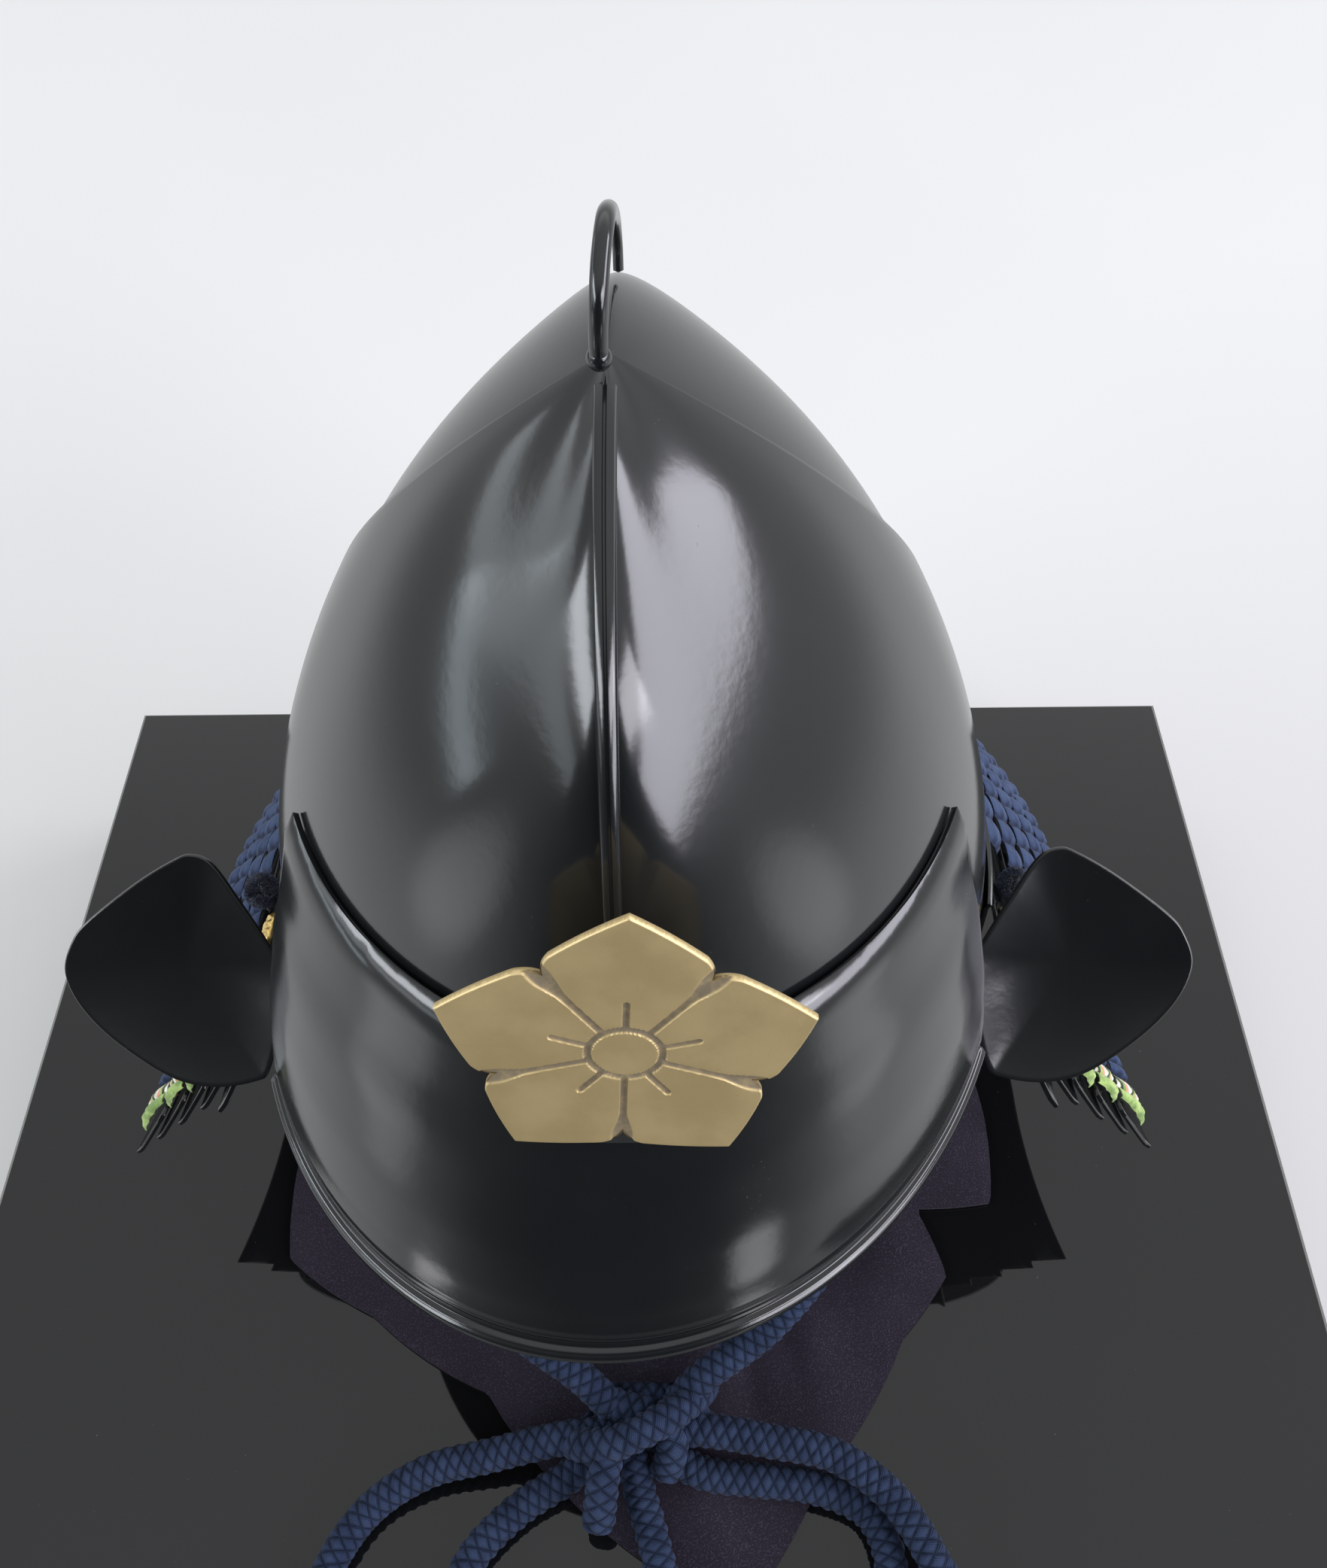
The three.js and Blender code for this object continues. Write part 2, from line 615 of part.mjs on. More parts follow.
function cylinder(radius, low, high, sides) {
  return new THREE.CylinderGeometry(radius, radius, high - low, sides)
    .rotateX(Math.PI / 2).translate(0, 0, (low + high) / 2);
}

add("bowl_front_plates", frontPlates(), COLOURS.lacquer);
add("bowl_rear_plates", rearPlates(), COLOURS.lacquer);
add("ridge_rib", ridgeRib(), COLOURS.lacquer);
add("curled_stalk", stalk(), COLOURS.lacquer);
add("visor", visor(), COLOURS.lacquer);
add("waist_band", waistBand(), COLOURS.lacquer);
add("crest", crest(), COLOURS.gold);
add("crest_socket", crestSocket(), COLOURS.lacquer);

for (let k = 0; k < GUARD.plates; k++) {
  add(`neck_guard_plate_${k + 1}`, guardPlate(k), COLOURS.lacquer);
  add(`lacing_row_${k + 1}`, lacingRow(k), COLOURS.navy);
}

for (const [label, side] of [["left", -1], ["right", 1]]) {
  add(`turned_ear_${label}`, ear(side), COLOURS.lacquer);
  add(`gilt_fitting_${label}`, giltFitting(side), COLOURS.gilt);
  add(`blue_knob_${label}`, knob(side), COLOURS.navy);
  for (let k = 1; k < GUARD.plates; k++) {
    add(`edge_braid_${label}_${k + 1}`, edgeBraid(k, side), COLOURS.braid);
  }
}

for (const [name, points] of Object.entries(CORDS)) add(name, cordPiece(points), COLOURS.navy);
add("chin_knot", knotBody(), COLOURS.navy);

const capLow = bowlPoint(0, STAND.capLevel, STAND.capInset).z - STAND.capDepth;
add("stand_base", cylinder(STAND.baseRadius, GAP, STAND.baseHeight, 32), COLOURS.wood);
add("stand_post", cylinder(STAND.postRadius, STAND.baseHeight + GAP, capLow - GAP, 24), COLOURS.wood);
add("stand_cap", standCap(), COLOURS.wood);
add("stand_cloth", clothCover(), COLOURS.cloth);
add("display_box", displayBox(), COLOURS.box, object);

export default object;
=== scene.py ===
# %% [markdown]
# # A kabuto, a samurai helmet, on its covered stand and a black display box
#
# The hard shapes already stand in one shared frame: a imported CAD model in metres, with +Z up and the
# helmet facing -Y. This lesson lays smooth, detailed pieces over it one at a time, and gives each the
# finish that the real one has.

# %% Load the frame
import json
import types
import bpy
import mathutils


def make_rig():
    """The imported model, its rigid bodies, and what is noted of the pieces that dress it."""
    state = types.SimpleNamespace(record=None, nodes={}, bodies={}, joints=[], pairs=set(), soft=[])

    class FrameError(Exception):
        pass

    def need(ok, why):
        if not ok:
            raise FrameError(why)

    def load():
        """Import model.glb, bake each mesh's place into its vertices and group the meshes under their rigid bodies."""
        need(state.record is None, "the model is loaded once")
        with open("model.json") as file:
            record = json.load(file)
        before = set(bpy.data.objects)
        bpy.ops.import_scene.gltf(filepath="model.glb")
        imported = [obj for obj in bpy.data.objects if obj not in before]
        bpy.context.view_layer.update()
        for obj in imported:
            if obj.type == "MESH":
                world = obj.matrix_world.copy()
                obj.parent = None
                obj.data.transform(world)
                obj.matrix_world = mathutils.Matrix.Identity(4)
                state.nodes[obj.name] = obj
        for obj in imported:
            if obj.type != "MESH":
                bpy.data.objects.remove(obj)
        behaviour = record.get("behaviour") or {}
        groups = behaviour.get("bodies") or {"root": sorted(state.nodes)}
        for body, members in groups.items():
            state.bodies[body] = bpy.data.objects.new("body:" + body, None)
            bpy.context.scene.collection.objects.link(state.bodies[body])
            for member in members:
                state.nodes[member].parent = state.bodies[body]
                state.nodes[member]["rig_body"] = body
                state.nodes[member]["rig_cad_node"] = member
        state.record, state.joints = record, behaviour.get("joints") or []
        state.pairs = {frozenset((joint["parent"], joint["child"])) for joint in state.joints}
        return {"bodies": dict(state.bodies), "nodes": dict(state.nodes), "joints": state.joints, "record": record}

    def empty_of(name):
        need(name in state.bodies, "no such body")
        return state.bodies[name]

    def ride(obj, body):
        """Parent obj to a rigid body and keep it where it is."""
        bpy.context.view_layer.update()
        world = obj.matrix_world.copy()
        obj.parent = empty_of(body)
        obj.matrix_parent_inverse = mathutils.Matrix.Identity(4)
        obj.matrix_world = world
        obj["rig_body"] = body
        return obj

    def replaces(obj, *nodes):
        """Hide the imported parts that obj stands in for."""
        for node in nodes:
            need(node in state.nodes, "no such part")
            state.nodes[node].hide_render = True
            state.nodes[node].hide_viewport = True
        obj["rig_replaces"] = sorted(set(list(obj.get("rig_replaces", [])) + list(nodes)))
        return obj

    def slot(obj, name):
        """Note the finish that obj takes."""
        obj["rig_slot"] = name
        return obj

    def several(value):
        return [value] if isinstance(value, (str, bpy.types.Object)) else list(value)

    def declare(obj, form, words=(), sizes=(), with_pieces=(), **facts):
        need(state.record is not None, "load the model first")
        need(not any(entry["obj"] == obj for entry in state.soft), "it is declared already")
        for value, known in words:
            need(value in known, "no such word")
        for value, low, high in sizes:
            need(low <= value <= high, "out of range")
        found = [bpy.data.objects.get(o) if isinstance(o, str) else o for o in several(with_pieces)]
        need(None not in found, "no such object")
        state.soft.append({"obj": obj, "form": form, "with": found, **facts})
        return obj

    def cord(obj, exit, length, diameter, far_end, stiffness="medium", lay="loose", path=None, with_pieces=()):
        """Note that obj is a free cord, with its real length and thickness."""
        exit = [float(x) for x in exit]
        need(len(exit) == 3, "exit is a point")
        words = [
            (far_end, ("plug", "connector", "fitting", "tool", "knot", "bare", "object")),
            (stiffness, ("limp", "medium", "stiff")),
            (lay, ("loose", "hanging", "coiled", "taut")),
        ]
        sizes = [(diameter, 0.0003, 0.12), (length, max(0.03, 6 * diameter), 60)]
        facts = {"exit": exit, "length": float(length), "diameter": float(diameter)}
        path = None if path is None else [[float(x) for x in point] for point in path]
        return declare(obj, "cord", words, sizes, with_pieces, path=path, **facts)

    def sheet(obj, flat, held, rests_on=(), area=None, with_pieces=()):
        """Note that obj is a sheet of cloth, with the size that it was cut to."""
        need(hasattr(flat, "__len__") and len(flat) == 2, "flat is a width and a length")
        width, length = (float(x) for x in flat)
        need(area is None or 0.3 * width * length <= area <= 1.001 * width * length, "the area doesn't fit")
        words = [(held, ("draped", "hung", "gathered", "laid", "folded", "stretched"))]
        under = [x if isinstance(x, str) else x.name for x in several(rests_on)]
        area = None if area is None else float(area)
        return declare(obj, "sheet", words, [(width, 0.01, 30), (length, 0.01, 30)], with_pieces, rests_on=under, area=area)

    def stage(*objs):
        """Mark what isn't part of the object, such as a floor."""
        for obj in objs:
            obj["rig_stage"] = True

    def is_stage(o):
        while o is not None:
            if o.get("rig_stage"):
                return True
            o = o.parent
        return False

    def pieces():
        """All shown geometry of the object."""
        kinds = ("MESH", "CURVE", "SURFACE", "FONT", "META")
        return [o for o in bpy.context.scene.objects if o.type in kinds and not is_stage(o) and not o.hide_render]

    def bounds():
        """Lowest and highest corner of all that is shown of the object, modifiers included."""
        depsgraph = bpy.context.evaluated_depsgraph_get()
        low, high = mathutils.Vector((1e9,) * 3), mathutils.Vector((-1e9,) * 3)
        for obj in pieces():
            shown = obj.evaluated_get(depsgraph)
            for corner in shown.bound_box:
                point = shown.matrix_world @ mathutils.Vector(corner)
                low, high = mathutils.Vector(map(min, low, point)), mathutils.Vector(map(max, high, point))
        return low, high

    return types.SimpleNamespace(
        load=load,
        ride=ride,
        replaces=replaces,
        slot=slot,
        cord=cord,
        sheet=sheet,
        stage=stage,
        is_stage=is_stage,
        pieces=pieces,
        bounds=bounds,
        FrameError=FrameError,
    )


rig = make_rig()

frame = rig.load()

import bisect
import json
import math

import bpy
from mathutils import Matrix, Vector, noise

CAD_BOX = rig.bounds()
NODES = frame["nodes"]
scene = bpy.context.scene
scene.view_settings.view_transform = "Standard"
print("CAD box", [round(c, 3) for corner in CAD_BOX for c in corner])

# %% [markdown]
# ## The camera
#
# The helmet is seen from above and in front, through the wide lens of a phone. The box's edges gave
# the place and the turn of the camera, so each piece can be compared with the real one directly.

# %% The camera
MM = 0.001
CAMERA = {"place": (15.68, -177.18, 536.76), "pitch": 53.707, "roll": -1.598, "yaw": 1.35, "lens": 30.507}

eye = bpy.data.objects.new("camera", bpy.data.cameras.new("camera"))
scene.collection.objects.link(eye)
eye.data.lens = CAMERA["lens"]
eye.data.sensor_width = 36
eye.data.clip_start = 0.01
eye.matrix_world = (Matrix.Translation(Vector(CAMERA["place"]) * MM)
                    @ Matrix.Rotation(math.radians(CAMERA["yaw"]), 4, "Z")
                    @ Matrix.Rotation(math.radians(90 - CAMERA["pitch"]), 4, "X")
                    @ Matrix.Rotation(math.radians(CAMERA["roll"]), 4, "Z"))
scene.camera = eye
print("camera looks along", [round(c, 3) for c in eye.matrix_world.to_3x3() @ Vector((0, 0, -1))])

# %% [markdown]
# ## A few tools
#
# Almost every piece here is a curved sheet of some kind, so almost every piece starts the same way. A
# flat grid is added, and each of its points is laid on the surface by a small function of two shares,
# `u` along the grid and `v` across it. Modifiers then give the sheet its thickness and soft edges.

# %% Places and small sums
AXIS = Vector((2, 40, 80))


def at(x, y, z):
    """A point given in millimetres from the bowl's upright axis and the box's top, in metres."""
    return (Vector((x, y, z)) + AXIS) * MM


def mix(a, b, share):
    return a + (b - a) * share


def clamp(value, low=0.0, high=1.0):
    return max(low, min(high, value))


def smooth(value):
    value = clamp(value)
    return value * value * (3 - 2 * value)


def between(value, table):
    """The second column of a table at a value of the first, smoothly between its rows."""
    firsts = [row[0] for row in table]
    i = int(clamp(bisect.bisect_right(firsts, value) - 1, 0, len(table) - 2))
    (a, start), (b, end) = table[i], table[i + 1]
    return mix(start, end, smooth((value - a) / (b - a)))


# %% Modelling tools
def deselect():
    bpy.ops.object.select_all(action="DESELECT")


def pick(*pieces):
    """Selects only these pieces; the first is the active one."""
    deselect()
    for piece in pieces:
        piece.select_set(True)
    bpy.context.view_layer.objects.active = pieces[0]


def edit(piece, work):
    """Runs one edit-mode step on everything in the piece."""
    pick(piece)
    bpy.ops.object.mode_set(mode="EDIT")
    bpy.ops.mesh.select_all(action="SELECT")
    work()
    bpy.ops.object.mode_set(mode="OBJECT")


def merge(piece):
    """Merges the points that meet, and turns all faces outwards."""
    edit(piece, lambda: bpy.ops.mesh.remove_doubles(threshold=1e-6))
    edit(piece, lambda: bpy.ops.mesh.normals_make_consistent(inside=False))


def laid_grid(name, columns, rows, place, joined=False):
    """A grid whose points lie where place(u, v) says; a joined one has its meeting edges merged."""
    deselect()
    bpy.ops.mesh.primitive_grid_add(x_subdivisions=columns, y_subdivisions=rows, size=1)
    piece = bpy.context.object
    piece.name = piece.data.name = name
    for point in piece.data.vertices:
        point.co = place(point.co.x + 0.5, point.co.y + 0.5)
    if joined:
        merge(piece)
    return piece


def face_away(piece, middle):
    """Turns an open sheet's faces so that they look away from a point inside it."""
    mesh = piece.data
    looks_out = sum(face.area * face.normal.dot((face.center - middle).normalized())
                    for face in mesh.polygons)
    if looks_out < 0:
        edit(piece, lambda: bpy.ops.mesh.flip_normals())


def apply(piece, kind, **settings):
    """Adds one modifier and applies it."""
    pick(piece)
    bpy.ops.object.modifier_add(type=kind)
    modifier = piece.modifiers[-1]
    for key, value in settings.items():
        setattr(modifier, key, value)
    bpy.ops.object.modifier_apply(modifier=modifier.name)


def plate(piece, middle, thickness, rim=0.0003, segments=2):
    """Gives an open sheet its thickness, inwards, and rounds its rim."""
    face_away(piece, middle)
    apply(piece, "SOLIDIFY", thickness=thickness, offset=-1, use_even_offset=True)
    apply(piece, "BEVEL", width=rim, segments=segments, limit_method="ANGLE", angle_limit=math.radians(50))
    smooth_shade(piece)


def skin(piece, middle, thickness, angle=60):
    """Gives an open sheet a thin back and leaves its rim square."""
    face_away(piece, middle)
    apply(piece, "SOLIDIFY", thickness=thickness, offset=-1)
    smooth_shade(piece, angle)


def smooth_shade(piece, angle=40):
    pick(piece)
    bpy.ops.object.shade_smooth_by_angle(angle=math.radians(angle))


def joined_up(name, pieces):
    pick(*pieces)
    bpy.ops.object.join()
    pieces[0].name = pieces[0].data.name = name
    return pieces[0]


def settle(piece, slot, nodes=()):
    """The piece rides on the helmet's one body, takes a finish's slot and stands for its CAD nodes."""
    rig.ride(piece, "root")
    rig.slot(piece, slot)
    if nodes:
        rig.replaces(piece, *nodes)
    print(piece.name, len(piece.data.polygons), "faces")


# %% [markdown]
# ## Shader sums
#
# A finish is mostly arithmetic on noise. This small class wraps a node's output, so that `1 - mask` or
# `noise * 0.2 + 0.3` in Python adds the Math nodes for it.

# %% Shader sums
class Sum:
    """A value in a shader's node tree that adds Math nodes as it is used in Python sums."""

    def __init__(self, tree, socket):
        self.tree, self.socket = tree, socket

    def math(self, operation, *others):
        node = self.tree.nodes.new("ShaderNodeMath")
        node.operation = operation
        for put, value in zip(node.inputs, (self, *others)):
            plug(self.tree, put, value)
        return Sum(self.tree, node.outputs[0])

    def __add__(self, other):
        return self.math("ADD", other)

    def __sub__(self, other):
        return self.math("SUBTRACT", other)

    def __mul__(self, other):
        return self.math("MULTIPLY", other)

    def __rsub__(self, other):
        return (self * -1) + other

    __radd__ = __add__

    def fract(self):
        return self.math("FRACT")

    def floor(self):
        return self.math("FLOOR")

    def sin(self):
        return self.math("SINE")

    def abs(self):
        return self.math("ABSOLUTE")

    def least(self, other):
        return self.math("MINIMUM", other)

    def power(self, other):
        return self.math("POWER", other)

    def step(self, low, high):
        """0 below low, 1 above high, smooth between."""
        node = self.tree.nodes.new("ShaderNodeMapRange")
        node.interpolation_type = "SMOOTHSTEP"
        for put, value in zip(node.inputs, (self, low, high, 0.0, 1.0)):
            plug(self.tree, put, value)
        return Sum(self.tree, node.outputs[0])


def plug(tree, put, value):
    if isinstance(value, Sum):
        tree.links.new(value.socket, put)
    elif isinstance(value, tuple) and len(value) == 3 and put.type == "RGBA":
        put.default_value = (*value, 1)
    else:
        put.default_value = value


class Finish:
    """One material, with its shader, its coordinates and the nodes that the finishes need."""

    def __init__(self, name, **shader):
        self.material = bpy.data.materials.new(name)
        self.material.use_nodes = True
        self.tree = self.material.node_tree
        self.shader = self.tree.nodes["Principled BSDF"]
        for socket, value in shader.items():
            self.set(socket.replace("_", " "), value)
        places = self.tree.nodes.new("ShaderNodeTexCoord")
        self.place = Sum(self.tree, places.outputs["Object"])
        self.uv = Sum(self.tree, places.outputs["UV"])

    def set(self, socket, value):
        plug(self.tree, self.shader.inputs[socket], value)

    def node(self, kind, settings=(), out=0, **sockets):
        node = self.tree.nodes.new(kind)
        for key, value in dict(settings).items():
            setattr(node, key, value)
        for name, value in sockets.items():
            plug(self.tree, node.inputs[name.replace("_", " ")], value)
        return Sum(self.tree, node.outputs[out])

    def noise(self, scale, detail):
        return self.node("ShaderNodeTexNoise", Vector=self.place, Scale=scale, Detail=detail)

    def blend(self, share, a, b):
        node = self.tree.nodes.new("ShaderNodeMix")
        node.data_type = "RGBA"
        for put, value in ((node.inputs[0], share), (node.inputs[6], a), (node.inputs[7], b)):
            plug(self.tree, put, value)
        return Sum(self.tree, node.outputs[2])

    def axes(self, vector):
        node = self.tree.nodes.new("ShaderNodeSeparateXYZ")
        plug(self.tree, node.inputs[0], vector)
        return [Sum(self.tree, socket) for socket in node.outputs]

    def bump(self, height, strength, distance):
        self.set("Normal", self.node("ShaderNodeBump", Strength=strength, Distance=distance, Height=height))

    def on(self, *pieces):
        for piece in pieces:
            piece.data.materials.clear()
            piece.data.materials.append(self.material)


# %% [markdown]
# ## The cord
#
# The chin cord is a round navy braid, as thick as a finger. Its lumps slant both ways and make small
# V marks. Each stretch is a grid rolled round the cord's line, and every point is pushed in or out by
# the braid's own rule: two sets of strands wind round in opposite directions and take turns on top.

# %% The cord's lines
CORD_RADIUS = 5
CROSSINGS = 4
LUMP_LENGTH = 3.9
BRAID_HEIGHT = {"valley": 0.86, "lump": 0.15}
ROUND_END = 2.5
CURVE_STEPS = 24
STRAND_ROUTE = [(-88, -20, 104), (-84, -42, 84), (-66, -82, 54), (-40, -110, 33), (-18, -124, 25),
                (-8, -132, 19)]
CORD_ROUTES = {
    "chin_cord_left": STRAND_ROUTE,
    "chin_cord_right": [(-x, y, z) for x, y, z in STRAND_ROUTE],
    "bow_loop_left": [(-6, -137, 17), (-24, -139, 17), (-46, -143, 13), (-66, -147, 9), (-83, -157, 5.4),
                      (-93, -173, 5.4), (-96, -192, 5.4), (-86, -207, 5.4), (-68, -205, 5.4),
                      (-58, -188, 5.4), (-51, -170, 5.4), (-38, -157, 6), (-24, -149, 8.5), (-10, -141, 12)],
    "bow_loop_right": [(4, -136, 16), (20, -137, 17.2), (38, -140, 18), (58, -144, 17), (74, -155, 15.8),
                       (85, -172, 14), (94, -190, 8), (96, -208, 5.4), (83, -219, 5.4), (68, -210, 5.4),
                       (67, -191, 5.4), (73, -172, 5.4), (68, -158, 5.4), (52, -151, 7.4), (34, -149, 7.9),
                       (18, -147, 7.9), (6, -141, 10)],
    "tail_long": [(-3, -141, 12), (-1, -152, 8.4), (2, -161, 7.6), (6, -174, 7.6), (12, -190, 7.6),
                  (17, -203, 7), (20, -213, 6)],
}


def curve_through(route, spacing=0.5):
    """Evenly spaced points, in millimetres, on the smooth curve through a route's points."""
    knots = [Vector(p) for p in route]
    knots = [2 * knots[0] - knots[1], *knots, 2 * knots[-1] - knots[-2]]
    fine = []
    for a, b, c, d in zip(knots, knots[1:], knots[2:], knots[3:]):
        t1 = math.sqrt((b - a).length)
        t2 = t1 + math.sqrt((c - b).length)
        t3 = t2 + math.sqrt((d - c).length)
        for i in range(CURVE_STEPS):
            t = mix(t1, t2, i / CURVE_STEPS)
            middle_share = (t - t1) / (t2 - t1)
            ab, bc, cd = a.lerp(b, t / t1), b.lerp(c, middle_share), c.lerp(d, (t - t2) / (t3 - t2))
            fine.append(ab.lerp(bc, t / t2).lerp(bc.lerp(cd, (t - t1) / (t3 - t1)), middle_share))
    fine.append(knots[-2])
    lengths = [0.0]
    for a, b in zip(fine, fine[1:]):
        lengths.append(lengths[-1] + (b - a).length)
    count = max(4, round(lengths[-1] / spacing))
    even = []
    for i in range(count + 1):
        want = lengths[-1] * i / count
        j = min(bisect.bisect_right(lengths, want), len(fine) - 1)
        span = lengths[j] - lengths[j - 1] or 1
        even.append(fine[j - 1].lerp(fine[j], (want - lengths[j - 1]) / span))
    return even, lengths[-1]


def frames_along(line):
    """Two directions square to the line at each of its points, carried along without twist."""
    last = len(line) - 1
    tangents = [(line[min(i + 1, last)] - line[max(i - 1, 0)]).normalized() for i in range(last + 1)]
    side = tangents[0].orthogonal().normalized()
    frames = []
    for tangent in tangents:
        side = (side - tangent * side.dot(tangent)).normalized()
        frames.append((side, tangent.cross(side)))
    return frames


def braid_height(around, along):
    """How proud the braid stands, 0 to 1: around in turns, along in millimetres."""
    a = CROSSINGS * around + along / LUMP_LENGTH
    b = CROSSINGS * around - along / LUMP_LENGTH
    over, under = (a, b) if (math.floor(a) + math.floor(b)) % 2 == 0 else (b, a)
    across = math.sin(math.pi * (over - math.floor(over)))
    lengthways = math.sin(math.pi * (under - math.floor(under)))
    return across ** 0.7 * lengthways ** 0.35


def braided_cord(name, route, around=40, rough_end=0.0):
    """A braided cord along a route, rounded at both ends; a cut end can be rough as well."""
    line, length = curve_through(route)
    frames = frames_along(line)
    last = len(line) - 1

    def place(u, v):
        i = round(u * last)
        side, up = frames[i]
        proud = braid_height(v, u * length)
        end = min(u, 1 - u) * length
        cap = math.sqrt(clamp(1 - (1 - min(end / ROUND_END, 1)) ** 2))
        if rough_end and (1 - u) * length < rough_end:
            cap *= 1 + 0.08 * noise.noise(Vector((v * 9, u * 40, 3)))
        reach = CORD_RADIUS * (BRAID_HEIGHT["valley"] + BRAID_HEIGHT["lump"] * proud) * cap
        angle = 2 * math.pi * v
        return at(*(line[i] + (side * math.cos(angle) + up * math.sin(angle)) * reach))

    piece = laid_grid(name, last, around, place, joined=True)
    for spot in piece.data.uv_layers[0].data:
        spot.uv = (spot.uv.x * length / LUMP_LENGTH, spot.uv.y * CROSSINGS)
    smooth_shade(piece, 60)
    return piece, [at(*p) for p in line], length


# %% The navy braid's finish
def braid_sums(finish):
    """The braid's rule again, for colour with painted shade in the valleys: how near a point is to a lump's middle,
    and its fibres.
    """
    along, around, _ = finish.axes(finish.uv)
    a, b = around + along, around - along
    odd = ((a.floor() + b.floor()) * 0.5).fract() * 2
    fa, fb = (a.fract() * math.pi).sin().abs(), (b.fract() * math.pi).sin().abs()
    middle = fa.least(fb)
    fibres = ((a * (1 - odd) + b * odd) * 40 + finish.noise(900, 2) * 3).sin() * 0.5 + 0.5
    return middle, fibres


navy = Finish("navy braid", Roughness=0.85, Specular_IOR_Level=0.12, Sheen_Weight=0.04)
middle, fibres = braid_sums(navy)
cloudy = navy.noise(140, 4)
navy_painted_shade = navy.blend(cloudy.step(0.35, 0.7), (0.003, 0.006, 0.016), (0.006, 0.011, 0.027))
navy_painted_lit = navy.blend(cloudy.step(0.3, 0.65), (0.016, 0.026, 0.058), (0.026, 0.040, 0.084))
# Painted shade and painted light: the cord is painted darker in the valleys between lumps and lighter on the lumps'
# middles, with the fibres on top.
navy.set("Base Color", navy.blend((middle * 0.75 + fibres * 0.25).step(0.05, 0.75), navy_painted_shade, navy_painted_lit))
navy.bump(middle.power(0.5) * 0.4 + fibres * 0.35 + navy.noise(2600, 2) * 0.6, 0.7, 0.0004)

# %% Braid the cords
cords = {}
for name, route in CORD_ROUTES.items():
    piece, line, length = braided_cord("braid_" + name, route, rough_end=4 if name == "tail_long" else 0)
    navy.on(piece)
    settle(piece, "navy_braid", [name])
    cords[name] = piece, line, length
    print(name, "is", round(length), "mm long")

# %% [markdown]
# The knot is more of the same cord: a wrap that runs slantwise over the top, a turn that comes down in
# front, a core under them, and the short end that hangs out. They are joined into one piece.

# %% The knot
KNOT_TURNS = {
    "wrap": [(-22, -136, 9), (-19, -141, 19), (-8, -142, 26), (6, -136, 27), (16, -128, 21), (19, -123, 11)],
    "turn": [(-12, -129, 18), (-6, -131, 20), (5, -134, 20), (9, -141, 18), (6, -149, 11)],
    "core": [(-19, -134, 9), (-8, -137, 12), (6, -137, 12), (19, -135, 9)],
    "back_turn": [(-13, -127, 11), (0, -128, 17), (12, -129, 16), (19, -136, 15)],
    "short_end": [(-9, -139, 22), (-11, -149, 22), (-12, -156, 19), (-13, -163, 13)],
}
turns = [braided_cord("turn", route, rough_end=4)[0] for route in KNOT_TURNS.values()]
knot = joined_up("tied_knot", turns)
navy.on(knot)
settle(knot, "navy_braid", ["chin_knot", "tail_short"])

FAR_END = {"chin_cord_left": "knot", "chin_cord_right": "knot", "tail_long": "bare"}
for name, (piece, line, length) in cords.items():
    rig.cord(piece, exit=line[0], length=length * MM, diameter=2 * CORD_RADIUS * MM, stiffness="limp", path=line,
            far_end=FAR_END.get(name, "object"), lay="hanging" if name in FAR_END else "loose",
            with_pieces=[knot] if FAR_END.get(name) == "knot" else [])

# %% [markdown]
# ## The bowl
#
# The bowl is hammered from thick plates, filed smooth and lacquered. From the front it is a pointed
# arch, from the side a dome, and a soft keel joins the two. One formula gives its surface for any angle
# round it and any level up it, so the front half, the rear half, the rib and the visor all agree.

# %% The bowl's surface
BOWL = {"half_width": 99.8, "front": 109, "rear": 135, "base": 124, "summit": 301, "keel": 1.8, "power": 1.6,
        "brow": 44}
BOWL_RISE = BOWL["summit"] - BOWL["base"]
SEAM = {"base": 135, "top": 95, "lap": 7, "step": 2.7}
THICK = 1.6


def bowl_point(angle, level, inset=0.0):
    """A point of the bowl in millimetres; angle 0 looks forward, level runs from 0 to 1."""
    s, c = math.sin(angle), math.cos(angle)
    length = (BOWL["front"] if c > 0 else BOWL["rear"]) - inset
    reach = 1 / math.hypot(s / (BOWL["half_width"] - inset), c / length)
    keel = 1 + BOWL["keel"] * abs(s) ** BOWL["power"]
    rise = BOWL_RISE - inset
    share = math.sqrt(max(keel ** 2 - (2 * keel - 1) * level ** 2, 0)) - (keel - 1)
    return Vector((reach * share * s, -reach * share * c, BOWL["base"] + level * rise))


def seam_angle(level):
    return math.radians(mix(SEAM["base"], SEAM["top"], level))


def towards_middle(share, power=1.3):
    """-1 to 1 from 0 to 1, with the steps crowding at the middle, where the keel is."""
    side = 2 * share - 1
    return math.copysign(abs(side) ** power, side)


def front_place(u, v):
    side = towards_middle(u)
    brow = BOWL["brow"] * max(math.cos(side * seam_angle(0)), 0) ** 2 / BOWL_RISE
    level = mix(brow, 1, math.sin(v * math.pi / 2))
    return at(*bowl_point(side * seam_angle(level), level))


def rear_place(u, v):
    level = math.sin(v * math.pi / 2)
    start = seam_angle(level) - math.radians(SEAM["lap"])
    angle = mix(start, 2 * math.pi - start, towards_middle(u) / 2 + 0.5)
    return at(*bowl_point(angle, level, SEAM["step"]))


BOWL_MIDDLE = at(0, 0, 150)
front_half = laid_grid("bowl_front", 150, 80, front_place)
plate(front_half, BOWL_MIDDLE, THICK * MM)
rear_half = laid_grid("bowl_rear", 120, 80, rear_place)
plate(rear_half, BOWL_MIDDLE, THICK * MM)

# %% [markdown]
# A narrow rib runs down the keel from the stalk to the crest. Its top is nearly flat and its two edges
# are crisp, so they catch two fine lines of light.

